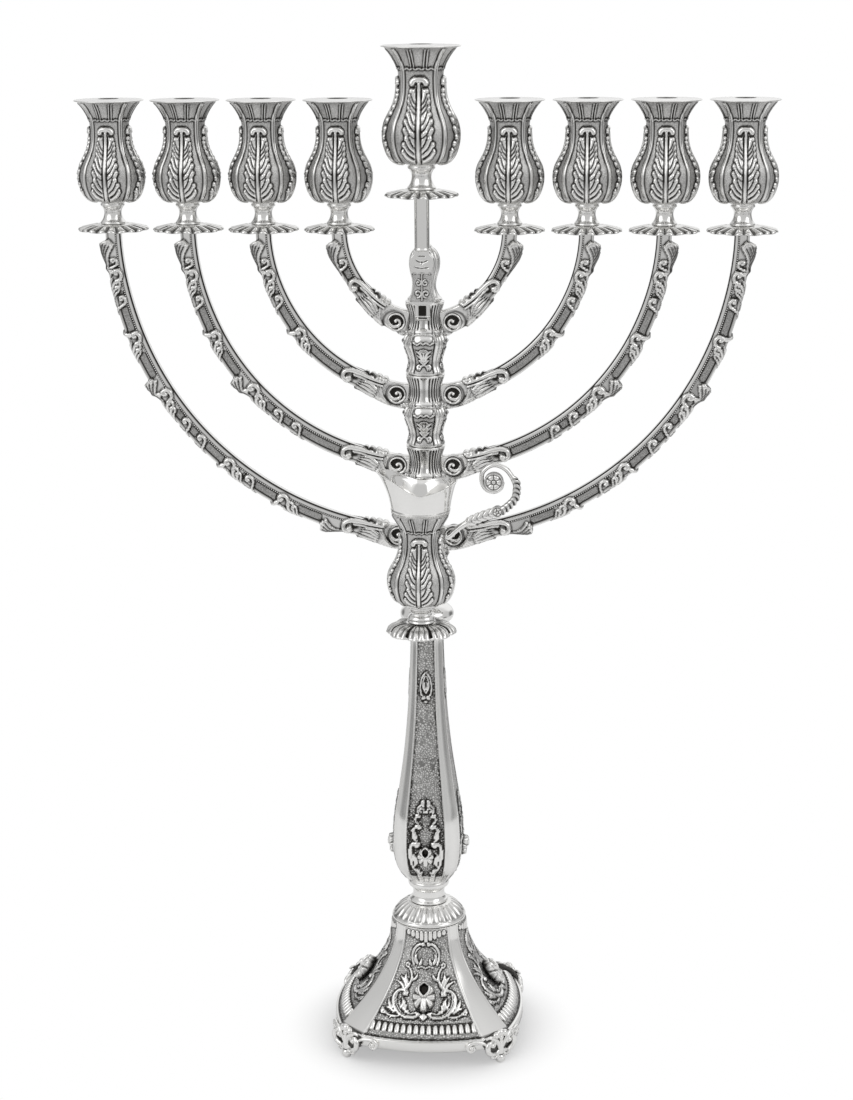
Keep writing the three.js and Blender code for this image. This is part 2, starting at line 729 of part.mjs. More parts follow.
function jugBody(hookBottom) {
  const neck = neckShares.map(([r, z]) => [r * jugNeckRadius, jugNeckBottom + z * jugNeckHeight]);
  const belly = tulipShares.slice(0, -1);
  const body = belly.map(([r, z]) => [r * jugBodyRadius, jugBodyBottom + z * jugBodyHeight]);
  const mouth = jugCollarFootRadius - jugWall;
  const outer = [...neck, ...body, [jugCollarFootRadius, jugBodyTop]];
  const inner = [...body].reverse().map(([r, z]) => [(r - jugWall) * (1 + cupHollowShare), z]);
  const floor = jugBodyBottom + jugBodyHeight * 0.08;
  const pegBottom = jugNeckBottom - jugPegLength;
  const profile = [[0, pegBottom], [spigotRadius, pegBottom], [spigotRadius, jugNeckBottom], ...outer,
    [mouth, jugBodyTop], ...inner, [0, floor]];
  const shell = turned(profile, 2 * cupRibCount, tulipRipple(3 + neck.length, jugLeafShares));
  const tongueOffset = jugReach - tongueReach;
  const hookLength = tongueOffset - jugBodyRadius * 0.6;
  const barLength = hookLength + tongueThickness / 2;
  const barMiddle = tongueOffset + tongueThickness / 2 - barLength / 2;
  const bar = block(tongueWidth, barLength, jugHookHeight, 0, barMiddle, hookBottom + jugHookHeight / 2);
  const drop = block(tongueWidth, tongueThickness, tongueLength + cutOverrun,
    0, tongueOffset, hookBottom + (cutOverrun - tongueLength) / 2);
  return joined(shell, bar, drop);
}

// Polished collar with a wavy lip that runs out to a spout on the left
function jugCollar() {
  const spread = (angle) => Math.max(0, -Math.sin(angle)) ** 6;
  const lipRise = (angle) => jugSpoutRise * Math.max(0, -Math.sin(angle)) ** 3
    + jugBackRise * Math.max(0, Math.sin(angle)) ** 2;
  const foot = jugCollarFootRadius;
  const wallLevels = [[foot, 0], [foot * 1.06, 0.4], [jugLipRadius * 0.93, 0.8], [jugLipRadius, 1]];
  const sides = 20;
  const ring = (radius, level, inset) => Array.from({ length: sides }, (_, side) => {
    const angle = side / sides * 2 * Math.PI;
    const reach = radius - inset + jugSpoutReach * spread(angle) * level ** 2;
    const height = jugBodyTop + seatGap + level * (jugLipHeight + lipRise(angle));
    return new THREE.Vector3(reach * Math.sin(angle), -reach * Math.cos(angle), height);
  });
  const outer = wallLevels.map(([radius, level]) => ring(radius, level, 0));
  const innerLevels = [...wallLevels].reverse().filter(([, level]) => level !== 0.8);
  const inner = innerLevels.map(([radius, level]) => ring(radius, level, jugWall));
  return skinned([...outer, ...inner], true);
}

// Handle: out from the waist, then a bow that winds in to a scroll round a small rosette.
// The root runs in shares of the way from the waist to the place where the bow begins.
const handleRootShares = [[0, 0], [0.07, 0.03], [0.29, 0.4], [0.59, 0.7], [0.86, 0.9]];
// The bow: degrees round the rosette against the share of its first radius
const bowShares = [
  [-75, 1], [-43, 0.89], [-21, 0.78], [0, 0.7], [45, 0.6], [90, 0.585], [135, 0.505], [180, 0.4],
  [225, 0.36], [270, 0.34], [315, 0.32], [360, 0.3],
];
function jugHandle() {
  const rootReach = jugBodyRadius * 0.72 + seatGap;
  const root = jugBodyBottom + jugHandleRootRise;
  const scrollZ = root + jugScrollRise;
  const bow = bowShares.map(([degrees, share]) => {
    const angle = THREE.MathUtils.degToRad(degrees);
    const out = share * jugBowRadius * Math.cos(angle);
    const up = share * jugBowRadius * Math.sin(angle);
    return new THREE.Vector3(jugScrollReach + out, 0, scrollZ + up);
  });
  const waist = handleRootShares.map(([x, z]) => {
    const out = THREE.MathUtils.lerp(rootReach, bow[0].x, x);
    return new THREE.Vector3(out, 0, THREE.MathUtils.lerp(root, bow[0].z, z));
  });
  const curve = new THREE.CatmullRomCurve3([...waist, ...bow], false, "centripetal");
  const section = disc(jugHandleThickness / 2, 6);
  const bar = new THREE.ExtrudeGeometry(section, { steps: 36, extrudePath: curve, bevelEnabled: false });
  const boss = new THREE.CylinderGeometry(jugRosetteRadius, jugRosetteRadius, jugRosetteWidth, 10);
  boss.translate(jugScrollReach, 0, scrollZ);
  return joined(bar, boss);
}

// Assembly

const menorah = new THREE.Group();
const polish = { color: 0xd9d9d6, roughness: 0.18, metalness: 1 };
const antique = { color: 0xb4b3af, roughness: 0.36, metalness: 1 };
const steel = { color: 0x8d9094, roughness: 0.45, metalness: 1 };

function add(name, geometry, finish, x = 0, y = 0, z = 0, turn = 0, parent = menorah) {
  const mesh = new THREE.Mesh(geometry, new THREE.MeshStandardMaterial(finish));
  mesh.name = name;
  mesh.position.set(x, y, z);
  mesh.rotation.z = turn;
  parent.add(mesh);
}

const corners = ["front_right", "back_right", "back_left", "front_left"];
const sides = ["front", "right", "back", "left"];

add("base_skirt", baseSkirt(), antique);
corners.forEach((corner, index) => {
  add(`foot_${corner}`, foot(), antique, 0, 0, 0, (index - 0.5) * Math.PI / 2);
});
sides.forEach((side, index) => {
  add(`base_rosette_${side}`, baseRosette(), antique, 0, 0, 0, index * Math.PI / 2);
});
add("fluted_dome", flutedDome(), polish, 0, 0, domeBottom);
add("base_neck", baseNeck(), polish, 0, 0, neckBottom);
add("vase_stem", vaseStem(), antique, 0, 0, vaseBottom);
sides.forEach((side, index) => {
  add(`vase_rosette_${side}`, vaseRosette(), antique, 0, 0, vaseBottom, index * Math.PI / 2);
});
add("stem_knop", stemKnop(), polish, 0, 0, knopBottom);

// Column modules are numbered from the top, and the first and last carry the keepers.
for (let pair = 0; pair < armPairs; pair += 1) {
  const carriesKeeper = pair === 0 || pair === armPairs - 1;
  const geometry = carriesKeeper ? cut(columnModule(), keeperRecess()) : columnModule();
  const collar = topCollar - pair * collarSpacing;
  add(`column_module_${pair + 1}`, geometry, antique, 0, 0, collar + collarTopRise - moduleHeight);
}
add("column_top", columnTop(), antique, 0, 0, columnTopBottom);
const serverKeeperTop = topCollar + collarTopRise;
const jugKeeperTop = lowestCollar + collarTopRise;
add("serving_light_keeper", keeper(), polish, 0, 0, serverKeeperTop);
add("jug_keeper", keeper(), polish, 0, 0, jugKeeperTop);

const rodTop = columnTopBottom + columnTopHeight * tieRodTopShare - seatGap;
const nutTop = skirtTop - skirtWall - seatGap;
const rodBottom = nutTop - nutHeight - rodTail;
const rodSpan = rodTop - rodBottom;
const tieRod = turned([[0, 0], [tieRodRadius, 0], [tieRodRadius, rodSpan], [0, rodSpan]], 12);
add("tie_rod", tieRod, steel, 0, 0, rodBottom);
add("base_nut", hexNut(), steel, 0, 0, nutTop - nutHeight);

for (let pair = 0; pair < armPairs; pair += 1) {
  const reach = innerArmReach + pair * armSpacing;
  for (const [side, hand] of [["left", -1], ["right", 1]]) {
    const turn = hand < 0 ? Math.PI : 0;
    add(`arm_${side}_${pair + 1}`, arm(pair), antique, 0, 0, 0, turn);
    add(`pan_${side}_${pair + 1}`, pan(panRadius, pegHoleRadius), polish, hand * reach, 0, panBottom);
    add(`cup_${side}_${pair + 1}`, cup(1, pegHoleRadius), antique, hand * reach, 0, cupBottom);
  }
}

const servingLight = new THREE.Group();
const bracketBottom = serverKeeperTop + seatGap;
const serverRodBottom = bracketBottom + bracketHeight + seatGap;
const serverPanBottom = serverRodBottom + rodLength + seatGap;
const serverCupBottom = serverPanBottom + panHubHeight + seatGap;
add("serving_bracket", serverBracket(bracketBottom), antique, 0, 0, 0, 0, servingLight);
add("serving_rod", serverRod(), polish, 0, -serverReach, serverRodBottom, 0, servingLight);
const serverPan = pan(panRadius * serverPanShare, pegHoleRadius);
const serverCup = cup(serverSizeShare, pegHoleRadius);
add("serving_pan", serverPan, polish, 0, -serverReach, serverPanBottom, 0, servingLight);
add("serving_cup", serverCup, antique, 0, -serverReach, serverCupBottom, 0, servingLight);
menorah.add(servingLight);

// The jug hangs with its hook bar resting on the keeper, which settles its height.
const jug = new THREE.Group();
const hookRise = jugBodyBottom + jugBodyHeight * jugHookShare;
jug.position.set(0, -jugReach, jugKeeperTop + seatGap - hookRise);
add("jug_foot", jugFoot(), polish, 0, 0, 0, 0, jug);
add("jug_body", jugBody(hookRise), antique, 0, 0, 0, 0, jug);
add("jug_collar", jugCollar(), polish, 0, 0, 0, 0, jug);
add("jug_handle", jugHandle(), antique, 0, 0, 0, 0, jug);
menorah.add(jug);

export default menorah;
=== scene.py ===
import bpy
import math
import numpy as np
from mathutils import Matrix, Vector


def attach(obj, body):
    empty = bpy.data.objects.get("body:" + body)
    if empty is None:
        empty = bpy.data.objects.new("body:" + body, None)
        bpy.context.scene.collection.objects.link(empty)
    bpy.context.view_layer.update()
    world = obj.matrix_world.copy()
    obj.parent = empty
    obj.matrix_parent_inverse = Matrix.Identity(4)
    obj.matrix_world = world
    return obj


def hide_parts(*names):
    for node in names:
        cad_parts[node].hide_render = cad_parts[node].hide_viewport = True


# A nine-light hanukkah menorah in cast and stamped silver. Sizes are millimetres until a mesh is
# made; +Z is up, the front faces -Y, and the stem axis stands on the origin.

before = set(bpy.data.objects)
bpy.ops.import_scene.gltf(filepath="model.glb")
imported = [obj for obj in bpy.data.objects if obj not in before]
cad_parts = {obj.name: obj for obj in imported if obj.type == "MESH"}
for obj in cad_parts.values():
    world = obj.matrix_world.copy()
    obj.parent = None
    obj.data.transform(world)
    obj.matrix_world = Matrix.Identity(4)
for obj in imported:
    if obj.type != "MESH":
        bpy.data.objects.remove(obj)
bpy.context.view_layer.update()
MM = 0.001

# Sizes shared with the solid model
ARM_PAIRS = 4
INNER_ARM_REACH = 49.0
ARM_SPACING = 44.0
INNER_ARM_RISE = 53.0
COLLAR_SPACING = 42.5
LOWEST_COLLAR = 318.3
TOP_COLLAR = LOWEST_COLLAR + (ARM_PAIRS - 1) * COLLAR_SPACING
ARM_TOP = TOP_COLLAR + INNER_ARM_RISE
VOLUTE_X = 16.3
SEAT_GAP = 0.3
PAN_HEIGHT = 2.7
PAN_BOTTOM = ARM_TOP + SEAT_GAP
CUP_BOTTOM = PAN_BOTTOM + PAN_HEIGHT
MODULE_HEIGHT = 42.2
COLLAR_TOP_RISE = 11.8
SERVER_REACH = 15.5
BRACKET_HEIGHT = 30.5
TONGUE_REACH = 14.6
JUG_REACH = 37.4
JUG_BODY_BOTTOM = 17.5
JUG_BODY_HEIGHT = 55.0
JUG_WAIST = 39.9
JUG_COLLAR_BOTTOM = JUG_BODY_BOTTOM + JUG_BODY_HEIGHT + SEAT_GAP
JUG_HOOK_RISE = JUG_BODY_BOTTOM + JUG_BODY_HEIGHT * 0.797

# How far each part of an outline stops short of the corner it shares with the next
CRISP_EDGE = 0.12


# Small numeric helpers

def smooth(low, high, value):
    share = np.clip((value - low) / (high - low), 0, 1)
    return share * share * (3 - 2 * share)


def mix(a, b, share):
    return a + (b - a) * share


def hump(gap, half):
    """1 where gap is 0, falling to 0 at half on either side."""
    return np.clip(1 - (gap / half) ** 2, 0, 1)


def unit(vectors):
    return vectors / np.linalg.norm(vectors, axis=1, keepdims=True)


def run_along(line):
    """How far along the line each of its points lies."""
    return np.r_[0, np.cumsum(np.linalg.norm(np.diff(line, axis=0), axis=1))]


def even(line, count):
    """The same line with its points evenly spaced."""
    line = np.asarray(line, float)
    run = run_along(line)
    at = np.linspace(0, run[-1], count)
    return np.stack([np.interp(at, run, line[:, axis]) for axis in range(line.shape[1])], 1)


def through(points, count=24):
    """A smooth line through the points."""
    p = np.asarray(points, float)
    if len(p) == 2:
        return even(p, count)
    padded = np.vstack([2 * p[0] - p[1], p, 2 * p[-1] - p[-2]])
    at = np.linspace(0, len(p) - 1, 24 * (len(p) - 1) + 1)
    start = np.minimum(at.astype(int), len(p) - 2)
    f = (at - start)[:, None]
    a, b, c, d = (padded[start + k] for k in range(4))
    bend, twist = 2 * a - 5 * b + 4 * c - d, 3 * b - a - 3 * c + d
    return even(0.5 * (2 * b + (c - a) * f + bend * f ** 2 + twist * f ** 3), count)


def scroll(x, y, radius, end_radius, start, turns, count=30):
    """A line that winds in or out round a centre; start is in degrees, turns signed."""
    share = np.linspace(0, 1, count)
    angle = math.radians(start) + turns * 2 * math.pi * share
    reach = mix(radius, end_radius, share)
    return np.stack([x + reach * np.cos(angle), y + reach * np.sin(angle)], 1)


def profile(parts, spacing, coarse=None):
    """Rows of a turned or swept outline: each part is smooth, and parts meet in a crisp edge.
    coarse widens the spacing of some parts, by their index."""
    rows, marks = [], []
    run = np.linspace(0, 1, 200)
    for index, part in enumerate(parts):
        line = through(part, 200)
        length = np.linalg.norm(np.diff(line, axis=0), axis=1).sum()
        step = spacing * (coarse or {}).get(index, 1)
        count = max(2, math.ceil(length / step) + 1)
        at = np.linspace(0, 1, count)
        trim = min(CRISP_EDGE / length, 0.25)
        if index > 0:
            at[0] = trim
        if index < len(parts) - 1:
            at[-1] = 1 - trim
        rows.append(np.stack([np.interp(at, run, line[:, k]) for k in range(2)], 1))
        marks.append(np.full(count, index))
    return np.vstack(rows), np.concatenate(marks)


def blurred(field, passes, wrap):
    for _ in range(passes):
        if wrap:
            wide = np.concatenate([field[:, -1:], field, field[:, :1]], 1)
        else:
            wide = np.pad(field, ((0, 0), (1, 1)), "edge")
        field = (wide[:, :-2] + 2 * wide[:, 1:-1] + wide[:, 2:]) / 4
        tall = np.pad(field, ((1, 1), (0, 0)), "edge")
        field = (tall[:-2] + 2 * tall[1:-1] + tall[2:]) / 4
    return field


class Relief:
    """Chased or cast work drawn over a flat patch: x across, y along, heights in millimetres."""

    def __init__(self, x, y):
        self.x, self.y = x, y
        self.height = np.zeros(x.shape)
        self.ink = np.zeros(x.shape)

    def near(self, line, reach):
        low, high = line.min(0) - reach, line.max(0) + reach
        return (self.x > low[0]) & (self.x < high[0]) & (self.y > low[1]) & (self.y < high[1])

    def measure(self, line, width):
        """Which points lie by the line, how near they are (1 on it, 0 at its edge) and where along it."""
        line = np.asarray(line, float)
        width = np.broadcast_to(np.asarray(width, float), (len(line),))
        near = self.near(line, width.max())
        px, py = self.x[near], self.y[near]
        best = np.zeros(len(px))
        along = np.zeros(len(px))
        for i in range(len(line) - 1):
            ax, ay = line[i]
            dx, dy = line[i + 1] - line[i]
            t = np.clip(((px - ax) * dx + (py - ay) * dy) / max(dx * dx + dy * dy, 1e-9), 0, 1)
            gap = (px - ax - t * dx) ** 2 + (py - ay - t * dy) ** 2
            half = width[i] + (width[i + 1] - width[i]) * t
            close = 1 - gap / np.maximum(half, 1e-3) ** 2
            better = close > best
            best = np.where(better, close, best)
            along = np.where(better, (i + t) / (len(line) - 1), along)
        return near, best, along

    def ridge(self, line, width, height, base=0.0, crown=0.5):
        """A raised band, round across where crown is 0.5 and flatter where it is less."""
        near, close, along = self.measure(line, width)
        if np.ndim(height):
            height = np.interp(along, np.linspace(0, 1, len(height)), height)
        raised = np.where(close > 0, base + height * np.clip(close, 0, 1) ** crown, -9)
        self.height[near] = np.maximum(self.height[near], raised)
        return self

    def groove(self, line, width, depth, ink=0.0):
        """A narrow groove, with oxide left in it where ink is set."""
        near, close, _ = self.measure(line, width)
        close = np.clip(close, 0, 1)
        self.height[near] -= depth * close
        self.ink[near] = np.maximum(self.ink[near], ink * close ** 0.5)
        return self

    def dome(self, x, y, radius, height, base=0.0, crown=0.5):
        close = 1 - ((self.x - x) ** 2 + (self.y - y) ** 2) / radius ** 2
        raised = np.where(close > 0, base + height * np.clip(close, 0, 1) ** crown, -9)
        self.height = np.maximum(self.height, raised)
        return self

    def leaflet(self, root, tip, bend, width, height, base=0.0):
        """A pointed leaf blade: widest a third of the way, bent sideways by bend."""
        root, tip = np.asarray(root, float), np.asarray(tip, float)
        middle = (root + tip) / 2 + bend * np.array([-(tip - root)[1], (tip - root)[0]])
        line = through([root, middle, tip], 12)
        share = np.linspace(0, 1, 12)
        swell = np.clip(np.sin(np.pi * share ** 0.75), 0, 1) ** 0.7
        half = np.maximum(width * (0.25 + 0.75 * swell) * (1 - share ** 6), 0.08)
        return self.ridge(line, half, height, base)


def about_stem(angle):
    """The matrix of a turn about the stem axis."""
    c, s = math.cos(angle), math.sin(angle)
    return np.array([[c, -s, 0], [s, c, 0], [0, 0, 1]])


def four_sides(points):
    """The points of one side, followed by those of the other three."""
    return [points @ about_stem(side * math.pi / 2).T for side in range(4)]


class Skin:
    """Closed shells gathered into one mesh, with how dark and how matt each point is."""

    def __init__(self):
        self.points, self.quads, self.tris, self.patina, self.ground = [], [], [], [], []
        self.count = 0

    def add(self, grid, patina=0.0, ground=0.0, flip=False, ring=False):
        """Rows of points that close round. A fan closes the first and the last row, or they are
        joined to each other if ring."""
        rows, cols = grid.shape[:2]
        patina = np.broadcast_to(patina, (rows, cols))
        ground = np.broadcast_to(ground, (rows, cols))
        left = self.count + np.arange(rows * cols).reshape(rows, cols)
        right = np.roll(left, -1, 1)
        points, dark, matt, fans = [grid.reshape(-1, 3)], [patina.ravel()], [ground.ravel()], []
        self.count += rows * cols
        if ring:
            left, right = np.vstack([left, left[:1]]), np.vstack([right, right[:1]])
        quads = np.stack([left[:-1], right[:-1], right[1:], left[1:]], -1).reshape(-1, 4)
        for row in () if ring else (0, rows - 1):
            points.append(grid[row].mean(0)[None])
            dark.append(patina[row].mean()[None])
            matt.append(ground[row].mean()[None])
            edge = (right[row], left[row]) if row == 0 else (left[row], right[row])
            fans.append(np.stack([np.full(cols, self.count), *edge], -1))
            self.count += 1
        self.points.append(np.vstack(points))
        self.patina.append(np.concatenate(dark))
        self.ground.append(np.concatenate(matt))
        self.quads.append(quads[:, ::-1] if flip else quads)
        if fans:
            tris = np.vstack(fans)
            self.tris.append(tris[:, ::-1] if flip else tris)
        return self

    def moved(self, turn=0.0, shift=(0, 0, 0), mirror=False, scale=1.0):
        """A copy, scaled, mirrored left to right, turned about the stem axis and shifted."""
        copy = Skin()
        side = np.array([-1 if mirror else 1, 1, 1]) * scale
        copy.points = [(p * side) @ about_stem(turn).T + np.asarray(shift, float) for p in self.points]
        copy.quads = [q[:, ::-1] if mirror else q for q in self.quads]
        copy.tris = [t[:, ::-1] if mirror else t for t in self.tris]
        copy.patina, copy.ground, copy.count = self.patina, self.ground, self.count
        return copy

    def tilted(self, angle):
        """A copy turned about the left-to-right axis."""
        copy = self.moved()
        c, s = math.cos(angle), math.sin(angle)
        copy.points = [p @ np.array([[1, 0, 0], [0, c, -s], [0, s, c]]).T for p in copy.points]
        return copy

    def join(self, other):
        self.points += other.points
        self.quads += [q + self.count for q in other.quads]
        self.tris += [t + self.count for t in other.tris]
        self.patina += other.patina
        self.ground += other.ground
        self.count += other.count
        return self

    def mesh(self, name):
        mesh = bpy.data.meshes.new(name)
        quads = np.vstack(self.quads)
        tris = np.vstack(self.tris) if self.tris else np.zeros((0, 3), int)
        mesh.vertices.add(self.count)
        mesh.vertices.foreach_set("co", (np.vstack(self.points) * MM).astype(np.float32).ravel())
        corners = np.concatenate([quads.ravel(), tris.ravel()]).astype(np.int32)
        mesh.loops.add(len(corners))
        mesh.loops.foreach_set("vertex_index", corners)
        starts = np.concatenate([np.arange(len(quads)) * 4, len(quads) * 4 + np.arange(len(tris)) * 3])
        mesh.polygons.add(len(starts))
        mesh.polygons.foreach_set("loop_start", starts.astype(np.int32))
        mesh.polygons.foreach_set("use_smooth", np.ones(len(starts), bool))
        mesh.update(calc_edges=True)
        for label, values in (("patina", self.patina), ("ground", self.ground)):
            attribute = mesh.attributes.new(label, "FLOAT", "POINT")
            attribute.data.foreach_set("value", np.concatenate(values).astype(np.float32))
        return mesh


def angles(columns, offset=0.0):
    return (np.arange(columns) + offset) / columns * 2 * np.pi


def turned(rows, columns, height=0.0, lift=0.0, offset=0.0):
    """Rows of radius and height turned about the upright axis, raised along their normal."""
    tangent = np.gradient(rows, axis=0)
    length = np.maximum(np.linalg.norm(tangent, axis=1), 1e-9)
    out, up = tangent[:, 1] / length, -tangent[:, 0] / length
    height = np.broadcast_to(height, (len(rows), columns))
    radius = rows[:, :1] + out[:, None] * height
    z = rows[:, 1:] + up[:, None] * height + lift
    around = angles(columns, offset)
    return np.stack([radius * np.sin(around), -radius * np.cos(around), z + np.zeros_like(radius)], -1)


def cavity(height, wrap, depth=0.3, passes=5):
    """How deep a point lies below what is round it, from 0 to 1."""
    return np.clip((blurred(height, passes, wrap) - height) / depth, 0, 1)


def outlined(height, wrap, foot=0.3, passes=2):
    """The dark line that lies round raised work, at its foot."""
    raised_here = smooth(0.5 * foot, 1.3 * foot, height)
    return np.clip(2.4 * blurred(raised_here, passes, wrap), 0, 1) * (1 - raised_here)


def tube(line, radii, sides=12):
    """A round rod along a line in space."""
    line = np.asarray(line, float)
    radii = np.broadcast_to(np.asarray(radii, float), (len(line),))
    tangent = unit(np.gradient(line, axis=0))
    side = np.cross(tangent, [0.0, 1.0, 0.0])
    short = np.linalg.norm(side, axis=1) < 0.2
    side[short] = np.cross(tangent[short], [1.0, 0.0, 0.0])
    side = unit(side)
    other = np.cross(tangent, side)
    around = angles(sides)[None, :, None]
    ring = side[:, None] * np.cos(around) + other[:, None] * np.sin(around)
    return line[:, None] + ring * radii[:, None, None]


def bead(centre, radius, stretch=(1, 1, 1), rows=9, columns=14):
    """A round drop of metal."""
    lean = np.linspace(-np.pi / 2, np.pi / 2, rows + 2)[1:-1, None]
    around = angles(columns)
    out = np.cos(lean)
    shape = np.stack([out * np.cos(around), out * np.sin(around), np.sin(lean) + 0 * around], -1)
    return np.asarray(centre, float) + shape * radius * np.asarray(stretch, float)


def both_faces(front, dark):
    """The rows of a face and of its copy on the back, and how dark they are."""
    back = front * np.array([1, -1, 1])
    return np.concatenate([front, back[::-1]], 0), np.concatenate([dark, dark[::-1]], 0)


def quarter_angles(columns):
    """The columns of one of four like sides, as angles from the middle of the side."""
    quarter = columns // 4
    return (np.arange(quarter) + 0.5) / quarter * np.pi / 2 - np.pi / 4


def around_flutes(angle, count):
    """-1 to 1 across each flute, 0 in its middle."""
    share = angle * count / (2 * np.pi)
    return 2 * (share - np.round(share))


# Finishes

def node_maker(tree):
    """Gives a function that adds a node, with what goes into its sockets and its settings."""
    def node(kind, inputs=None, **settings):
        made = tree.nodes.new(kind)
        for key, value in settings.items():
            setattr(made, key, value)
        for label, value in (inputs or {}).items():
            if hasattr(value, "links"):
                tree.links.new(value, made.inputs[label])
            else:
                made.inputs[label].default_value = value
        return made

    return node


def math_maker(node):
    """Gives a function that adds a Math node and returns its result."""
    def combine(operation, *values, clamp=False):
        made = node("ShaderNodeMath", dict(enumerate(values)), operation=operation, use_clamp=clamp)
        return made.outputs[0]

    return combine


# Depth of the polishing hairlines, in metres
HAIRLINE_DEPTH = 0.0000012


def silver_surface():
    """Silver that is bright on its high points, oxidised in its recesses and matt on its grounds; its dark
    colour also paints the shade that some pieces mark.
    """
    tree = bpy.data.node_groups.new("silver_surface", "ShaderNodeTree")
    for label, kind, value in (
            ("Bright", "NodeSocketColor", (0.93, 0.925, 0.91, 1)),
            ("Oxide", "NodeSocketColor", (0.035, 0.033, 0.03, 1)),
            ("Polish", "NodeSocketFloat", 0.12),
            ("Ground Roughness", "NodeSocketFloat", 0.42),
            ("Ground Shade", "NodeSocketFloat", 0.25),
            ("Grain Size", "NodeSocketFloat", 0.0007),
            ("Grain Depth", "NodeSocketFloat", 0.00006),
            ("Grain Shade", "NodeSocketFloat", 0.35)):
        socket = tree.interface.new_socket(label, in_out="INPUT", socket_type=kind)
        socket.default_value = value
    for label, kind in (
            ("Color", "NodeSocketColor"),
            ("Roughness", "NodeSocketFloat"),
            ("Normal", "NodeSocketVector")):
        tree.interface.new_socket(label, in_out="OUTPUT", socket_type=kind)
    node = node_maker(tree)
    combine = math_maker(node)
    given = node("NodeGroupInput").outputs

    patina = node("ShaderNodeAttribute", attribute_name="patina").outputs["Fac"]
    ground = node("ShaderNodeAttribute", attribute_name="ground").outputs["Fac"]
    place = node("ShaderNodeTexCoord").outputs["Object"]
    # pits of a punched ground, slow clouds of tarnish, and the hairlines of polishing
    grain_scale = combine("DIVIDE", 1.0, given["Grain Size"])
    grain = node("ShaderNodeTexVoronoi", {"Vector": place, "Scale": grain_scale}, feature="DISTANCE_TO_EDGE")
    from_edge = {"Value": grain.outputs["Distance"], "From Min": 0.28, "From Max": 0.06}
    pits = node("ShaderNodeMapRange", from_edge, interpolation_type="SMOOTHSTEP").outputs["Result"]
    clouds = node("ShaderNodeTexNoise", {"Vector": place, "Scale": 70, "Detail": 5}).outputs["Fac"]
    drawn = node("ShaderNodeMapping", {"Vector": place, "Scale": (900, 900, 5200)}).outputs[0]
    hairs = node("ShaderNodeTexNoise", {"Vector": drawn, "Scale": 1, "Detail": 2}).outputs["Fac"]

    pitted = combine("MULTIPLY", pits, ground)
    grain_dark = combine("MULTIPLY", pitted, given["Grain Shade"])
    ground_dark = combine("MULTIPLY", ground, given["Ground Shade"])
    wandering = combine("MULTIPLY_ADD", clouds, 0.8, 0.6)
    grounds = combine("MULTIPLY", combine("ADD", grain_dark, ground_dark), wandering)
    # the darkness attribute carries real oxide and, on some pieces, painted shade
    dark = combine("ADD", patina, grounds, clamp=True)
    tones = {"Factor": dark, "A": given["Bright"], "B": given["Oxide"]}
    blend = node("ShaderNodeMix", tones, data_type="RGBA")

    matt = combine("MAXIMUM", ground, combine("MULTIPLY", patina, 0.9), clamp=True)
    soiled = combine("MULTIPLY_ADD", combine("ADD", clouds, -0.5), 0.1, given["Polish"])
    spread = combine("SUBTRACT", given["Ground Roughness"], soiled)

    height = combine("MULTIPLY", pitted, given["Grain Depth"])
    fine = combine("MULTIPLY", hairs, HAIRLINE_DEPTH)
    bump = node("ShaderNodeBump", {"Strength": 1, "Distance": 1, "Height": combine("SUBTRACT", fine, height)})
    node("NodeGroupOutput", {
        "Color": blend.outputs["Result"],
        "Roughness": combine("MULTIPLY_ADD", matt, spread, soiled, clamp=True),
        "Normal": bump.outputs["Normal"],
    })
    return tree


SILVER = silver_surface()


def silver(name, **values):
    """A silver finish whose values are named as the surface's sockets are, with _ for a space."""
    material = bpy.data.materials.new(name)
    material.use_nodes = True
    nodes, links = material.node_tree.nodes, material.node_tree.links
    shader = nodes["Principled BSDF"]
    surface = nodes.new("ShaderNodeGroup")
    surface.node_tree = SILVER
    for label, value in values.items():
        surface.inputs[label.replace("_", " ")].default_value = value
    for label, socket in (("Color", "Base Color"), ("Roughness", "Roughness"), ("Normal", "Normal")):
        links.new(surface.outputs[label], shader.inputs[socket])
    shader.inputs["Metallic"].default_value = 1
    return material


CAST = silver("cast_silver_antiqued", Polish=0.16, Ground_Roughness=0.4, Ground_Shade=0.12,
              Grain_Size=0.0007, Grain_Depth=0.00004, Grain_Shade=0.35)
STIPPLED = silver("stamped_silver_stippled", Polish=0.14, Ground_Roughness=0.38, Ground_Shade=0.1,
                  Grain_Size=0.0013, Grain_Depth=0.00012, Grain_Shade=0.58)
POLISHED = silver("polished_silver", Polish=0.07, Ground_Roughness=0.3, Ground_Shade=0.1,
                  Grain_Size=0.0006, Grain_Depth=0.00001, Grain_Shade=0.0)


def make(name, skin, material, body, nodes):
    piece = bpy.data.objects.new(name, skin.mesh(name))
    bpy.context.scene.collection.objects.link(piece)
    piece.data.materials.append(material)
    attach(piece, body)
    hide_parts(*nodes)
    return piece


def cast_piece(name, skin, node, body="stand"):
    return make(name, skin, CAST, body, [node])


def polished_piece(name, skin, node, body="stand"):
    return make(name, skin, POLISHED, body, [node])


# Rows made by Geometry Nodes

def geometry_tree(name, inputs):
    """A Geometry Nodes tree with named inputs: the tree, the sockets of its inputs, a node maker."""
    tree = bpy.data.node_groups.new(name, "GeometryNodeTree")
    tree.interface.new_socket("Geometry", in_out="INPUT", socket_type="NodeSocketGeometry")
    for label, kind, value in inputs:
        socket = tree.interface.new_socket(label, in_out="INPUT", socket_type=kind)
        if value is not None:
            socket.default_value = value
    tree.interface.new_socket("Geometry", in_out="OUTPUT", socket_type="NodeSocketGeometry")
    return tree, tree.nodes.new("NodeGroupInput").outputs, node_maker(tree)


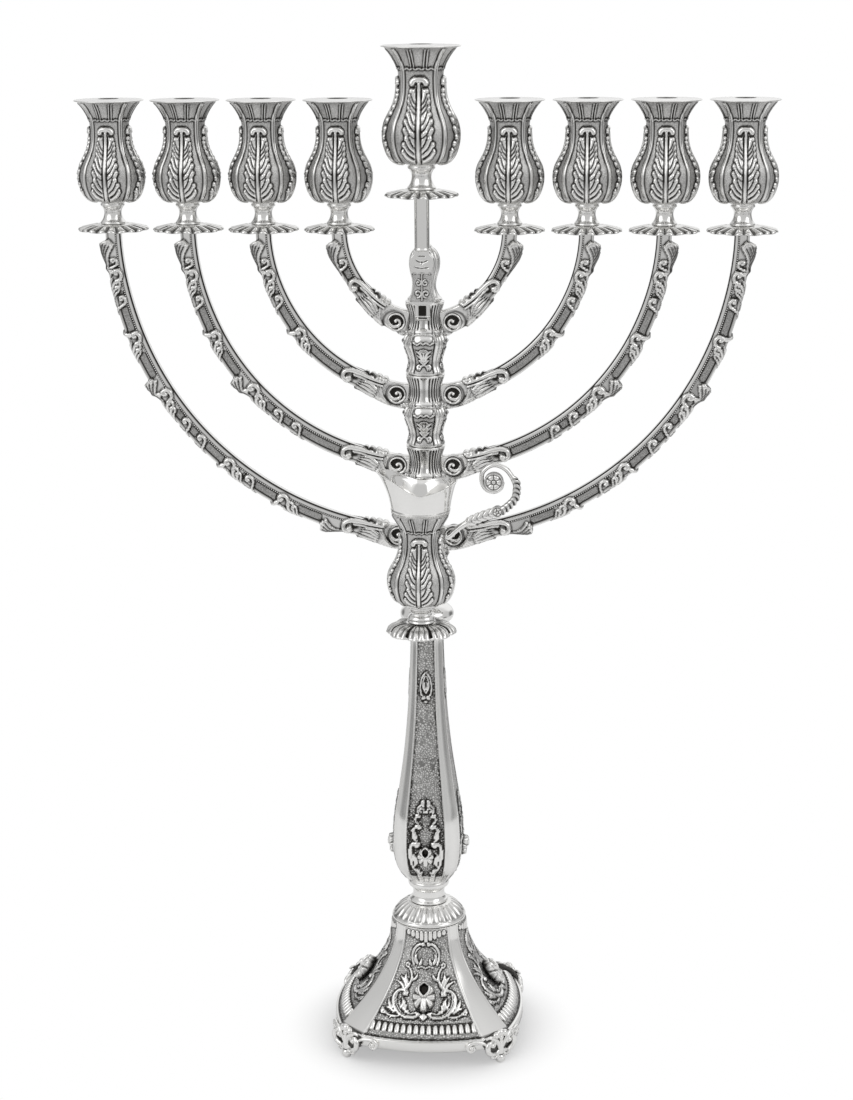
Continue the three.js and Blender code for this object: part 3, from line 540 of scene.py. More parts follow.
def finish_tree(tree, node, geometry, material):
    realized = node("GeometryNodeRealizeInstances", {"Geometry": geometry})
    painted = node("GeometryNodeSetMaterial", {"Geometry": realized.outputs[0], "Material": material})
    smoothed = node("GeometryNodeSetShadeSmooth", {"Geometry": painted.outputs[0]})
    node("NodeGroupOutput", {0: smoothed.outputs[0]})
    return tree


def bead_row_tree():
    """Small round beads set along every edge of the guide, an even step apart."""
    tree, given, node = geometry_tree("bead_row", [
        ("Bead Radius", "NodeSocketFloat", 0.0004),
        ("Bead Step", "NodeSocketFloat", 0.0013),
        ("Finish", "NodeSocketMaterial", None),
    ])
    curve = node("GeometryNodeMeshToCurve", {"Mesh": given["Geometry"]})
    stepped = node("GeometryNodeResampleCurve", {"Curve": curve.outputs[0], "Length": given["Bead Step"]},
                   mode="LENGTH")
    points = node("GeometryNodeCurveToPoints", {"Curve": stepped.outputs[0]}, mode="EVALUATED")
    ball = node("GeometryNodeMeshUVSphere", {"Segments": 6, "Rings": 4, "Radius": given["Bead Radius"]})
    beads = node("GeometryNodeInstanceOnPoints", {"Points": points.outputs[0], "Instance": ball.outputs[0]})
    return finish_tree(tree, node, beads.outputs[0], given["Finish"])


def gadroon_tree():
    """Lobes with arched tops, side by side along the guide and leaning back with the skirt."""
    tree, given, node = geometry_tree("gadroon_row", [
        ("Lobe Count", "NodeSocketInt", 17),
        ("Lobe Width", "NodeSocketFloat", 0.0032),
        ("Lobe Height", "NodeSocketFloat", 0.0075),
        ("Lobe Rise", "NodeSocketFloat", 0.0012),
        ("Lean", "NodeSocketFloat", 0.6),
        ("Finish", "NodeSocketMaterial", None),
    ])
    combine = math_maker(node)
    curve = node("GeometryNodeMeshToCurve", {"Mesh": given["Geometry"]})
    upright = node("GeometryNodeSetCurveNormal", {"Curve": curve.outputs[0]}, mode="Z_UP")
    points = node("GeometryNodeCurveToPoints", {"Curve": upright.outputs[0], "Count": given["Lobe Count"]},
                  mode="COUNT")
    # a ball, drawn out with an arched top and cut flat below
    ball = node("GeometryNodeMeshUVSphere", {"Segments": 16, "Rings": 10, "Radius": 0.5})
    place = node("GeometryNodeInputPosition")
    split = node("ShaderNodeSeparateXYZ", {"Vector": place.outputs[0]}).outputs
    share = combine("MULTIPLY", combine("ABSOLUTE", split["Y"]), 2.0)
    arched = combine("MULTIPLY", combine("POWER", share, 0.6), combine("SIGN", split["Y"]))
    flat = combine("MAXIMUM", combine("MULTIPLY", arched, 0.5), -0.3)
    drawn = node("ShaderNodeCombineXYZ", {"X": split["X"], "Y": flat, "Z": split["Z"]})
    size = node("ShaderNodeCombineXYZ", {"X": given["Lobe Width"], "Y": given["Lobe Height"],
                                         "Z": combine("MULTIPLY", given["Lobe Rise"], 2.0)})
    scaled = node("ShaderNodeVectorMath", {0: drawn.outputs[0], 1: size.outputs[0]}, operation="MULTIPLY")
    lobe = node("GeometryNodeSetPosition", {"Geometry": ball.outputs[0], "Position": scaled.outputs[0]})
    facing = node("FunctionNodeAlignRotationToVector", {"Vector": points.outputs["Tangent"]},
                  axis="X", pivot_axis="Z")
    leaning = node("ShaderNodeCombineXYZ", {"X": given["Lean"]})
    lean = node("FunctionNodeEulerToRotation", {0: leaning.outputs[0]})
    turned_back = node("FunctionNodeRotateRotation", {0: facing.outputs[0], 1: lean.outputs[0]},
                       rotation_space="LOCAL")
    lobes = node("GeometryNodeInstanceOnPoints", {"Points": points.outputs[0], "Instance": lobe.outputs[0],
                                                  "Rotation": turned_back.outputs[0]})
    return finish_tree(tree, node, lobes.outputs[0], given["Finish"])


def grown(name, guides, tree, **values):
    """A plain mesh made by a Geometry Nodes tree along guide lines, which are given in millimetres."""
    mesh = bpy.data.meshes.new(name)
    points, edges = [], []
    for guide in guides:
        start = len(points)
        points += [tuple(np.asarray(point, float) * MM) for point in guide]
        edges += [(start + k, start + k + 1) for k in range(len(guide) - 1)]
    mesh.from_pydata(points, edges, [])
    guide = bpy.data.objects.new(name, mesh)
    bpy.context.scene.collection.objects.link(guide)
    maker = guide.modifiers.new("maker", "NODES")
    maker.node_group = tree
    for item in tree.interface.items_tree:
        label = item.name.replace(" ", "_")
        if item.in_out == "INPUT" and label in values:
            maker[item.identifier] = values[label]
    bpy.context.view_layer.update()
    seen = guide.evaluated_get(bpy.context.evaluated_depsgraph_get())
    made = bpy.data.meshes.new_from_object(seen)
    guide.modifiers.remove(maker)
    guide.data = made
    made.name = name
    return guide


# Cups: a polished neck, a leafed and ribbed tulip, a band of windows under a thin rim

def cup_relief(x, y, rib):
    """One quarter of the tulip. x is across from the leaf's middle, y up, rib the way to the rib.
    Gives the relief, the matt ground and the drawn dark lines."""
    side = Relief(np.abs(x), y)
    # three tiers of broad lobes that fan outwards, each with a round tip and a crease to its neighbour:
    # lowest and highest root, reach of the lowest tip, top of the tier, number of lobes
    tiers = [(1.6, 10.5, 8.9, 17.4, 4), (11.5, 21.5, 7.9, 29.0, 4), (23.0, 31.0, 6.0, 37.2, 4)]
    between = []
    for low, high, reach, top, lobes in tiers:
        for lobe in range(lobes):
            share = lobe / (lobes - 1)
            root = (1.4, mix(low, high, 0.9 * share))
            tip_x = reach - 1.5 - (reach - 5.0) * share ** 2
            tip = (tip_x, mix(mix(low, top, 0.34), top - 1.4, share ** 0.85))
            middle = (mix(root[0], tip[0], 0.6), mix(root[1], tip[1], 0.42))
            line = through([root, middle, tip], 10)
            pad = np.array([0.7, 0.85, 1.0, 1.15, 1.3, 1.42, 1.5, 1.5, 1.45, 1.35])
            side.ridge(line, pad, np.linspace(0.75, 1.35, 10), crown=0.5)
            side.dome(*line[-1], 1.5, 1.6)
            if lobe:
                between.append((line + last) / 2)
            last = line
    for line in between:
        side.groove(line[1:10], 0.48, 0.6, 0.8)
    # stem: a round rod between two thin rails
    side.ridge(np.array([[1.75, 1.2], [1.75, 37]]), 0.35, 0.6)
    side.groove(np.array([[1.3, 1.2], [1.3, 37]]), 0.4, 0.3, 0.85)
    side.ridge(np.array([[0, 0.8], [0, 39.5]]), np.array([0.95, 0.8]), 1.5)
    # round cap over the stem
    side.ridge(through([(0, 41.6), (2.2, 41.2), (3.5, 39.9)], 10), 1.5, 1.7, crown=0.4)
    side.dome(3.3, 39.4, 1.35, 1.9)
    # windows under the rim
    third = rib + np.abs(x)
    line_at = np.abs(np.abs(x) - third / 3)
    up = smooth(46.0, 46.8, y) * (1 - smooth(55.9, 56.3, y))
    side.height = np.maximum(side.height, 0.5 * up * hump(line_at - 0.75, 0.42) ** 0.5)
    sill = 46.3 + 0.6 * np.abs(np.cos(np.pi * 1.5 * x / third * 2))
    side.height = np.maximum(side.height, 0.55 * hump(y - sill, 0.5) ** 0.5)
    lines = 0.95 * up * hump(line_at, 0.4)
    lines = np.maximum(lines, 0.6 * hump(y - sill - 0.85, 0.4) * smooth(1.2, 1.6, rib))
    # narrow ribs at the corners with a dark line on each side
    band = 0.7 * hump(rib - 0.6, 0.5) ** 0.5
    side.height = np.maximum(side.height, band * (1 - smooth(56.2, 56.7, y)) * smooth(0.4, 1.4, y))
    beside = hump(rib - 1.45, 0.42) * smooth(1, 3, y) * (1 - smooth(55.8, 56.4, y))
    lines = np.maximum(lines, 0.7 * beside * (side.height < 0.3))
    side.height -= 0.2 * beside * (side.height < 0.3)
    return side.height, smooth(1.2, 1.6, rib), np.maximum(lines, side.ink * (side.height > 0.2))


# The tulip's outline, up to where the rims of the cups and of the jug differ
TULIP = [(8.2, 0.1), (12.6, 1.1), (15.0, 3.1), (16.7, 6), (17.9, 10), (18.3, 13.5), (18.1, 17), (17.2, 20.5),
         (15.4, 24), (13.8, 27), (12.6, 30), (11.6, 34), (11.2, 39), (11.3, 44), (12.1, 48), (14.1, 51.8)]
CUP_TULIP_BOTTOM = 12.8


def leafed_layers(rows, here, z, columns):
    """Height, oxide and matt ground of a turned piece whose rows here are the leafed tulip."""
    radius = rows[here, :1]
    local = quarter_angles(columns)
    height, field, lines = cup_relief(radius * local, z + 0 * local, radius * (np.pi / 4 - np.abs(local)))
    tulip = np.tile(height, 4)
    dark = 0.8 * cavity(tulip, True, 0.34, 3) + 0.9 * outlined(tulip, True, 0.4) + np.tile(lines, 4)
    layers = np.zeros((3, len(rows), columns))
    layers[0, here] = tulip
    layers[1, here] = np.clip(dark, 0, 1)
    layers[2, here] = np.tile(field * (1 - smooth(0.15, 0.6, height)), 4)
    return layers


def cup_skin(columns=200):
    body = TULIP + [(16.4, 55.0), (18.6, 57.0)]
    parts = [
        [(0.5, 0.2), (6.9, 0)],
        [(7.2, 0), (7.35, 0.7), (7.0, 1.3)],
        [(6.8, 1.5), (5.8, 3.0), (5.1, 5.2), (5.0, 6.8), (5.4, 8.4), (6.2, 9.8)],
        [(6.4, 10.0), (6.95, 10.4), (6.95, 11.4), (6.5, 11.9)],
        [(6.6, 12.0), (7.4, 12.2), (8.0, 12.6)],
        [(r, z + CUP_TULIP_BOTTOM) for r, z in body],
        [(18.9, 69.7), (19.9, 69.85), (20.0, 70.15), (19.7, 70.4)],
        [(19.5, 70.45), (14, 70.5), (8, 70.8), (6.2, 71.0)],
        [(6.0, 71.0), (5.65, 70.8), (5.65, 69)],
        [(5.65, 68.5), (5.65, 41)],
        [(5.65, 40.9), (0.5, 40.8)],
    ]
    rows, marks = profile(parts, 0.56, {0: 4, 2: 1.5, 3: 1.5, 7: 4, 9: 10, 10: 4})
    here = marks == 5
    height, patina, ground = leafed_layers(rows, here, rows[here, 1:] - CUP_TULIP_BOTTOM, columns)
    # the inside of the socket is painted dark as shade
    patina[marks >= 8] = 0.9
    grid = turned(rows, columns, height, offset=0.5 - columns // 4 / 2)
    return Skin().add(grid, patina, ground)


# Drip pans: fluted petals that slope from a hub to a thin rim

def pan_skin(radius, petals=20, columns=160):
    parts = [
        [(0.5, 0.5), (3, 0.3), (radius * 0.5, -0.2), (radius - 0.4, -0.7)],
        [(radius - 0.3, -0.65), (radius, -0.35), (radius - 0.3, -0.05)],
        [(radius - 0.5, 0.0), (radius * 0.78, 0.75), (radius * 0.6, 1.5), (radius * 0.45, 2.2)],
        [(radius * 0.44, 2.35), (radius * 0.40, 2.55), (0.5, 2.6)],
    ]
    rows, marks = profile(parts, 0.9, {0: 3, 3: 4})
    around = angles(columns)
    share = rows[:, :1] / radius
    wave = np.abs(np.sin(petals / 2 * around))
    big = 0.5 + 0.5 * np.cos(10 * around)
    full = np.zeros((len(rows), columns))
    top = (marks == 2)[:, None]
    fade = smooth(0.42, 0.6, share)
    full += np.where(top, (1.5 * wave ** 0.6 - 0.6) * fade * smooth(1.03, 0.93, share), 0)
    droop = -0.5 * smooth(0.6, 1.0, share) * (1 - big) - 0.1
    grid = turned(rows, columns, full, lift=np.where(share > 0.45, droop, -0.1 * share))
    edge = 1 - 0.055 * smooth(0.75, 1.0, share) * (1 - wave ** 1.2)
    edge = edge - 0.02 * smooth(0.7, 1.0, share) * (1 - big)
    grid[..., :2] *= edge[..., None]
    beyond = 1.2 * (1 - wave) ** 2 * smooth(0.9, 1.0, share) + 0.08
    patina = np.where(top, 1.5 * (1 - wave) ** 1.5 * fade, beyond)
    return Skin().add(grid, np.clip(patina, 0, 1))


# Arms: an inner rail, a beaded line, a stippled channel, and scrolls that grow from the outer edge

HALF_DEPTH = 5.0
HALF_WIDTH = 3.35
ARM_ROW_STEP = 0.6


def arm_section(columns):
    """Half a section from the inner edge round the front to the outer edge: place and normal."""
    angle = np.linspace(0, np.pi, 400)
    up = -HALF_DEPTH * np.sign(np.cos(angle)) * np.abs(np.cos(angle)) ** 0.42
    line = even(np.stack([up, HALF_WIDTH * np.sin(angle) ** 0.42], 1), columns)
    tangent = unit(np.gradient(line, axis=0))
    run = run_along(line)
    return line, np.stack([-tangent[:, 1], tangent[:, 0]], 1), run - run[-1] / 2


def arm_features(length):
    """Curls, heads and sprays from the pan down to the hook: kind and place from the root."""
    cycle = (("pair", 15), ("curl", 23), ("pair", 26), ("spray", 12), ("head", 20), ("curl", 13),
             ("curl", 22))
    found, at, step = [], length - 27, 0
    while at > 52:
        kind, gap = cycle[step % len(cycle)]
        found.append((kind, at))
        at -= gap
        step += 1
    return found[::-1]


def crook(work, s, q, size, run):
    """A stem that climbs from the outer edge and curls over at its head."""
    stem = through([(s - run, 5.4), (s - 0.55 * run, 4.4), (s - 2.6 * size, q + 2.6 * size),
                    (s - 1.5 * size, q + 0.3), (s + 0.4 * size, q - 0.5 * size),
                    (s + 2.0 * size, q + 0.4 * size),
                    (s + 2.0 * size, q + 1.8 * size), (s + 0.8 * size, q + 2.1 * size)], 36)
    wide = np.r_[np.linspace(0.4, 0.8, 24), np.linspace(0.85, 0.7, 12)] * size
    work.ridge(stem, wide, np.r_[np.linspace(0.8, 1.3, 20), np.full(16, 1.45)] * size ** 0.4, crown=0.42)
    work.dome(s + 0.7 * size, q + 1.5 * size, 0.85 * size, 1.6 * size ** 0.4)


def curled_head(work, s, q, size, run):
    """A crook with a blade behind it and a leaf that falls from it to the outer edge."""
    crook(work, s, q, size, run)
    work.leaflet((s - 0.8 * run, 6.0), (s - 0.4 * size, q + 3.4 * size), 0.14, 0.9 * size, 1.2)
    work.leaflet((s + 1.6 * size, q + 2.4 * size), (s + 4.8 * size, 6.2), 0.18, 1.0 * size, 1.15)


def leaf_spray(work, s, size, blades, inner):
    """Blades that fan up along the outer edge, each with a round tip; the longest ends at s."""
    for blade in range(blades):
        share = blade / (blades - 1)
        end = (s - 10 * size * (share - 0.4) ** 2, mix(inner, 7.7, share))
        root = (s - 15 * size, mix(4.6, 6.8, share))
        middle = (mix(root[0], end[0], 0.6), mix(root[1], end[1], 0.3))
        line = through([root, middle, end], 14)
        work.ridge(line, np.linspace(0.3, 0.72, 14) * size, np.linspace(0.7, 1.7, 14), crown=0.45)
        work.dome(*end, 0.8 * size, 1.95)
        if blade:
            work.groove(((line + last) / 2)[2:13], 0.42, 0.4, 0.8)
        last = line


# How far each feature reaches back and ahead of its place
FEATURE_REACH = {"pair": (9.0, 3.6), "curl": (3.0, 2.8), "head": (10.0, 4.2), "spray": (9.0, 0.8),
                 "tuft": (13, 12), "hook": (20, 1.6)}


def arm_windows(features, s, q):
    """Where each point lies in the stippled windows between features: 0 in the middle, 1 at the edge."""
    depth = np.full(s.shape, 9.0)
    middle, half_height = 0.75, 2.1
    for (kind, at), (next_kind, next_at) in zip(features[:-1], features[1:]):
        low, high = at + FEATURE_REACH[kind][1], next_at - FEATURE_REACH[next_kind][0]
        if high - low < 3:
            continue
        straight = max((high - low) / 2 - half_height, 0)
        away = np.maximum(np.abs(s - (low + high) / 2) - straight, 0)
        height = min(half_height, (high - low) / 2)
        depth = np.minimum(depth, np.hypot(away, (q - middle) * height / half_height) / height)
    return depth


def arm_path(reach, rise):
    """An arm's middle line, a quarter ellipse: its places, its outward normals, how far along each
    place lies, and how far along and how high the line passes the volute's middle."""
    fine = np.linspace(math.asin(9.4 / reach), math.pi / 2, 2000)
    path = np.stack([reach * np.sin(fine), ARM_TOP - rise * np.cos(fine)], 1)
    run = run_along(path)
    at = np.linspace(0, run[-1], int(run[-1] / ARM_ROW_STEP))
    turn = np.interp(at, run, fine)
    centre = np.stack([reach * np.sin(turn), ARM_TOP - rise * np.cos(turn)], 1)
    along = unit(np.stack([reach * np.cos(turn), rise * np.sin(turn)], 1))
    root = [np.interp(VOLUTE_X, path[:, 0], values) for values in (run, path[:, 1])]
    return centre, np.stack([along[:, 1], -along[:, 0]], 1), at, root


def arm_ornament(work, features, at):
    """Stems that spring from the outer edge, curl at mid face and drop leaves over the edge. Gives
    how far they swell the outer edge."""
    swell = 3.6 * smooth(30, 5, at)
    for kind, place in features:
        if kind == "pair":
            curled_head(work, place, -1.6, 1.4, 11)
            crook(work, place - 5.0, 0.1, 1.0, 7)
            crook(work, place - 8.0, 1.2, 0.8, 6)
        elif kind == "curl":
            crook(work, place, -0.7, 1.15, 7)
            work.leaflet((place - 3, 6.2), (place + 2.2, 4.6), 0.1, 0.8, 0.9)
        elif kind == "head":
            curled_head(work, place, -1.8, 1.5, 12)
            crook(work, place - 5.6, 0.4, 1.05, 8)
            crook(work, place - 9.0, 1.4, 0.85, 7)
        elif kind == "spray":
            leaf_spray(work, place, 1.05, 6, 0.8)
            swell += 2.4 * smooth(place - 14, place - 3, at) * smooth(place + 1.2, place - 0.8, at)
        elif kind == "tuft":
            leaf_spray(work, place, 1.4, 7, 0.4)
            crook(work, place - 12.5, -0.6, 1.0, 6)
            swell += 2.9 * smooth(place - 20, place - 5, at) * smooth(place + 1.2, place - 1.6, at)
        if kind in ("pair", "head"):
            swell += 0.9 * np.exp(-((at - place - 4.4) / 1.5) ** 2)
    return swell


def arm_hook(work):
    """The hook scroll and the leaf under it, beyond the sheath."""
    hook = through([(16, -3.2), (24, -3.3), (31, -3.5), (37.0, -2.6), (40.0, -0.2), (39.4, 2.8), (36.6, 3.8),
                    (35.0, 2.4), (35.8, 1.0)], 50)
    work.ridge(hook, np.r_[np.linspace(0.7, 1.45, 30), np.linspace(1.45, 0.9, 20)], 1.8)
    work.ridge(hook[:26] + np.array([0, 2.0]), np.linspace(0.4, 0.8, 26), 1.2)
    work.dome(36.6, 2.2, 1.4, 2.2)
    for k in range(6):
        tip = (32.0 - 0.8 * abs(k - 1.5), 7.0 - 1.35 * k)
        work.leaflet((19.5 - 0.3 * k, 5.9 - 0.9 * k), tip, 0.12 - 0.05 * k, 0.85, 1.5)


def arm_sheath(x, y):
    """Acanthus ridges that sweep out from under the volute, whose middle is at 0, 0."""
    sheath = Relief(x, y)
    half = np.r_[np.linspace(0.38, 0.56, 26), np.linspace(0.56, 0.38, 10)]
    high = np.r_[np.full(28, 1.3), np.linspace(1.2, 0.4, 8)]
    for k in range(7):
        blade = through([(-7.0, 4.3 + 0.8 * k), (0, 6.0 + 0.75 * k), (5.8, 4.4 + 0.62 * k),
                         (9.2 + 0.9 * k, -0.2 + 0.75 * k), (11.5 + 1.6 * k, -5.0 + 1.35 * k)], 36)
        sheath.ridge(blade, half, high)
    return sheath


def arm_skin(pair):
    """One arm on the right, and the line on its front face that its row of beads follows."""
    rise = INNER_ARM_RISE + pair * COLLAR_SPACING
    collar = TOP_COLLAR - pair * COLLAR_SPACING
    centre, out, at, (root_s, root_z) = arm_path(INNER_ARM_REACH + pair * ARM_SPACING, rise)
    length = at[-1]
    line, normal, across = arm_section(36)
    s = np.repeat(at[:, None], len(line), 1)
    q = np.repeat(across[None], len(at), 0)
    work = Relief(s, q)
    features = [("hook", 39.0)] + arm_features(length) + [("tuft", length - 7.0)]
    swell = arm_ornament(work, features, at)[:, None]
    slim = mix(0.86, 1.0, smooth(length, length - 60, at))[:, None]

    # rails round the front, and the sunk windows
    window = arm_windows(features, s, q)
    inside = smooth(1.0, 0.86, window)
    base = 0.55 * hump(q - 4.3, 0.8) ** 0.5 - 0.45 * inside
    base -= 0.4 * hump(q + 2.0, 0.5)
    arm_hook(work)
    mid_v = line[None, :, 0] * slim + swell * smooth(-2, HALF_DEPTH, line[None, :, 0])
    sheath = arm_sheath(s - root_s, mid_v - (root_z - collar) + 0 * s)
    gutter = hump(np.hypot(sheath.x, sheath.y) - 6.1, 0.85) * smooth(-4.5, -2.0, sheath.x)
    root = smooth(26, 17, s)
    base = base * (1 - root) + 0.2 * root
    height = np.maximum(np.maximum(base, work.height), sheath.height * smooth(31, 23, s)) - 1.4 * gutter
    # curls along the upper edge by the volute
    for place, size in ((8.6, 1.0), (12.6, 1.15), (16.8, 1.0), (20.6, 0.8)):
        ahead = sheath.x - place
        knob = np.clip(1 - (ahead / (2.0 * size)) ** 2 - ((q + 5.6) / 2.6) ** 2, 0, 1) ** 0.5
        dot = np.clip(1 - (ahead ** 2 + (q + 5.0) ** 2) / 0.7, 0, 1)
        height = np.maximum(height, 1.9 * size * knob - 0.5 * dot)

    # oxide in the recesses and along the rails, painted shade along the inner edge, and a painted shadow in
    # the hook
    bare = 1 - smooth(0.2, 0.7, work.height)
    lines = 1.1 * hump(q + 2.0, 0.85) + 0.7 * hump(q - 3.35, 0.4)
    # painted shade: a dark line along the inner edge, where the face turns away
    lines += smooth(-3.9, -4.5, q) * smooth(-6.6, -5.6, q)
    drawn = lines * (1 - root) + 0.9 * hump(window - 1.0, 0.24) + 0.2 * inside
    dark = 0.8 * cavity(height, False, 0.36, 3) + 0.7 * gutter + drawn * bare
    dark += 0.8 * outlined(np.maximum(work.height, 0), False, 0.45) + work.ink * (work.height > 0.2)
    dark *= 1 - 0.6 * root * smooth(-2.8, -3.6, q)
    # painted shadow in the low part under the hook's curl
    hook_shadow = np.clip(1 - ((s - 33.5) / 3.5) ** 2 - ((q - 0.4) / 1.6) ** 2, 0, 1)
    dark = np.clip(dark + 1.2 * (hook_shadow * (1 - smooth(0.2, 0.7, height))), 0, 1)
    matt = smooth(0.9, 0.8, window) * bare

    place = line[None] + normal[None] * height[..., None]
    v = place[..., 0] * slim + swell * smooth(-2, HALF_DEPTH, place[..., 0])
    half = np.stack([centre[:, None, 0] + out[:, None, 0] * v, -place[..., 1],
                     centre[:, None, 1] + out[:, None, 1] * v], -1)
    grid = np.concatenate([half, half[:, -2:0:-1] * np.array([1, -1, 1])], 1)
    patina = np.concatenate([dark, dark[:, -2:0:-1]], 1)
    ground = np.concatenate([matt, matt[:, -2:0:-1]], 1)
    skin = Skin().add(grid, patina, ground).join(volute_skin(collar))
    return skin, half[np.searchsorted(at, 40.0):, np.argmin(np.abs(across + 2.05))]


def volute_skin(collar, radius=5.7, half_width=4.4):
    """A wound scroll seen from the front and the back, on the root of an arm."""
    rings, columns = 24, 80
    reach = np.linspace(0.0, radius, rings + 1)[1:, None]
    around = angles(columns)
    x, z = reach * np.cos(around), reach * np.sin(around)
    face = Relief(x, z)
    face.ridge(scroll(0, 0, radius - 0.85, radius - 0.85, 0, 1, 60), 0.72, 1.7)
    tail = through([(4.4, 0.6), (3.4, -1.4), (1.8, -2.5), (-0.4, -2.4), (-1.9, -1.2), (-1.9, 0.6),
                    (-0.6, 1.5), (0.7, 0.9)], 50)
    face.ridge(tail, np.r_[np.linspace(0.8, 1.15, 20), np.linspace(1.15, 0.75, 30)], 1.6)
    face.dome(0.3, 0.5, 1.0, 2.0)
    face.ridge(through([(-4.6, -1.6), (-3.6, -3.2), (-1.6, -4.4)], 12), 1.0, 2.0)
    dark = np.clip(0.7 * cavity(face.height, True, 0.5, 3) + 1.1 * smooth(0.9, 0.3, face.height), 0, 1)
    dark[-2:] = 1
    level = half_width + face.height - 0.45
    level[-1] = half_width - 1.9
    front = np.stack([x + VOLUTE_X, -level, z + collar], -1)
    return Skin().add(*both_faces(front, dark), flip=True)


# Column: fluted collars over ribbed bulbs with a leafed panel on each side

# Half the wide flute in the middle of each side of a collar, and the others, in degrees
WIDE_FLUTE = 14.0
NARROW_FLUTE = 10.3


def module_skin(columns=168):
    parts = [
        [(4.0, 0.1), (10.6, 0.0)],
        [(11.0, 0.2), (11.3, 1.1), (10.9, 2.4), (10.0, 4.2), (9.5, 7.0), (10.1, 10.4), (11.4, 13.8),
         (12.5, 16.8), (12.8, 19.0), (12.3, 21.2), (11.4, 22.9)],
        [(11.1, 23.2), (11.4, 23.7), (11.1, 24.4)],
        [(11.5, 24.8), (11.4, 25.6), (10.2, 27.4), (9.3, 29.8), (9.1, 32.5), (9.35, 35.2), (10.1, 38.2),
         (11.1, 40.8), (11.45, 41.6)],
        [(11.3, 42.05), (10.6, 42.2), (4.0, 42.1)],
    ]
    rows, marks = profile(parts, 0.46, {0: 3, 4: 3})
    local = quarter_angles(columns)
    z = rows[:, 1:] + 0 * local
    x = rows[:, :1] * local
    work = Relief(np.abs(x), z)
    degrees = np.abs(np.degrees(local))[None]
    bulb = smooth(0.6, 1.6, z) * smooth(23.0, 22.4, z)
    # leafed panel: two scrolls, three pairs of leaves in a V, a shell and a wavy border
    work.ridge(scroll(2.7, 4.8, 1.45, 0.5, -60, 1.3, 26), 0.5, 1.0)
    work.ridge(through([(0.2, 6.2), (1.5, 5.2), (2.4, 3.4)], 12), 0.45, 0.9)
    for k in range(3):
        work.leaflet((0.5, 6.8 + 1.6 * k), (3.4 + 0.95 * k, 9.2 + 3.0 * k), 0.12, 0.85, 1.05)
    work.ridge(np.array([[0, 6.0], [0, 12.6]]), np.array([0.7, 0.4]), 0.9)
    work.ridge(scroll(0, 12.6, 2.9, 2.9, 20, 0.2, 16), 0.45, 0.9)
    work.ridge(scroll(0, 12.9, 1.7, 1.7, 10, 0.24, 14), 0.4, 0.8)
    work.dome(0, 13.4, 0.8, 0.95)
    border = through([(0, 18.7), (1.5, 19.6), (2.8, 18.7), (4.2, 18.5), (5.6, 19.4), (6.9, 19.2)], 30)
    work.groove(border - np.array([0, 0.75]), 0.55, 0.7)
    work.ridge(border, 0.45, 0.9)
    panel = smooth(29.5, 27.5, degrees) * bulb
    leaf = work.height * panel
    sunk = 0.35 * panel * smooth(18.9, 18.3, z) * smooth(2.2, 2.8, z)
    # polished ribs at the corners with a line each side
    rib = smooth(30.5, 33.5, degrees)
    groove = hump(degrees - 29.5, 2.1)
    seam = hump(degrees - 45, 1.6)
    height = leaf - sunk + bulb * (0.6 * rib - 0.55 * groove - 0.45 * seam)
    # arch over the panel and a spike on each side of it
    arch = 23.2 + 1.3 * np.clip(1 - (x / 6.2) ** 2, -1, 1)
    height = np.maximum(height, 0.6 * hump(z - arch, 0.5) ** 0.5 * (degrees < 30))
    spikes = Relief(np.abs(x), z)
    spikes.ridge(through([(6.9, 20.2), (6.3, 23.4), (5.3, 27.4)], 12), np.linspace(1.1, 0.15, 12), 1.25)
    height = np.maximum(height, spikes.height)
    # concave flutes round the collar, a wider one in the middle of each side
    turn = np.degrees(local)[None] + 0 * z
    in_middle = np.abs(turn) < WIDE_FLUTE
    beyond = (np.abs(turn) - WIDE_FLUTE) / NARROW_FLUTE
    wide = np.clip(np.abs(turn) / WIDE_FLUTE, 0, 1)
    flute = np.where(in_middle, wide, 1 - np.abs(2 * (beyond - np.round(beyond))))
    open_part = smooth(26.2, 28.0, z) * smooth(41.4, 40.0, z)
    height = height + open_part * (0.95 * flute ** 1.7 - 0.5)
    middle = hump(turn, 1.6) * open_part
    height = height + 0.3 * middle
    height = np.where((marks >= 1)[:, None] & (marks <= 3)[:, None], height, 0)
    height = np.tile(height, 4)
    dark = cavity(height, True, 0.28, 4)
    hollow = np.where(in_middle, 0.12, 0.95) * (1 - flute) ** 1.1
    flutes = np.tile(open_part * hollow * (1 - middle), 4)
    field = np.tile(panel * smooth(18.6, 18.0, z) * (1 - smooth(0.15, 0.5, leaf)), 4)
    lines = 0.85 * np.tile(outlined(leaf, True, 0.3), 4) + 0.8 * np.tile(groove * bulb + middle, 4)
    grid = turned(rows, columns, height, offset=0.5 - columns // 4 / 2)
    return Skin().add(grid, np.clip(0.9 * dark + flutes + lines + 0.12 * field, 0, 1), field * 0.8)


def column_top_skin(columns=136):
    parts = [
        [(3.5, 0.1), (9.6, 0)],
        [(10.1, 0.3), (10.0, 1.4), (8.2, 3.2), (6.8, 6.2), (6.5, 9.2), (7.2, 13.2), (8.5, 17.6), (9.0, 21.6),
         (8.7, 25.0), (7.2, 28.4), (4.6, 31.0)],
        [(4.4, 31.2), (4.1, 32.0), (2.6, 33.0), (2.5, 33.8), (0.5, 34.0)],
    ]
    rows, marks = profile(parts, 0.45)
    around = angles(columns)
    z = rows[:, 1:] + 0 * around
    flute = around_flutes(around + np.pi / 8, 8)[None] + 0 * z
    ribs = smooth(1.6, 3.2, z) * smooth(31.2, 29.6, z)
    height = ribs * (0.5 * hump(flute, 0.62) ** 0.5 - 0.25)
    line = hump(np.abs(flute) - 0.72, 0.12)
    height = height - 0.2 * line * ribs
    height = np.where((marks == 1)[:, None], height, 0)
    return Skin().add(turned(rows, columns, height), cavity(height, True, 0.25, 3))


# Vase stem: four stippled panels between polished strips

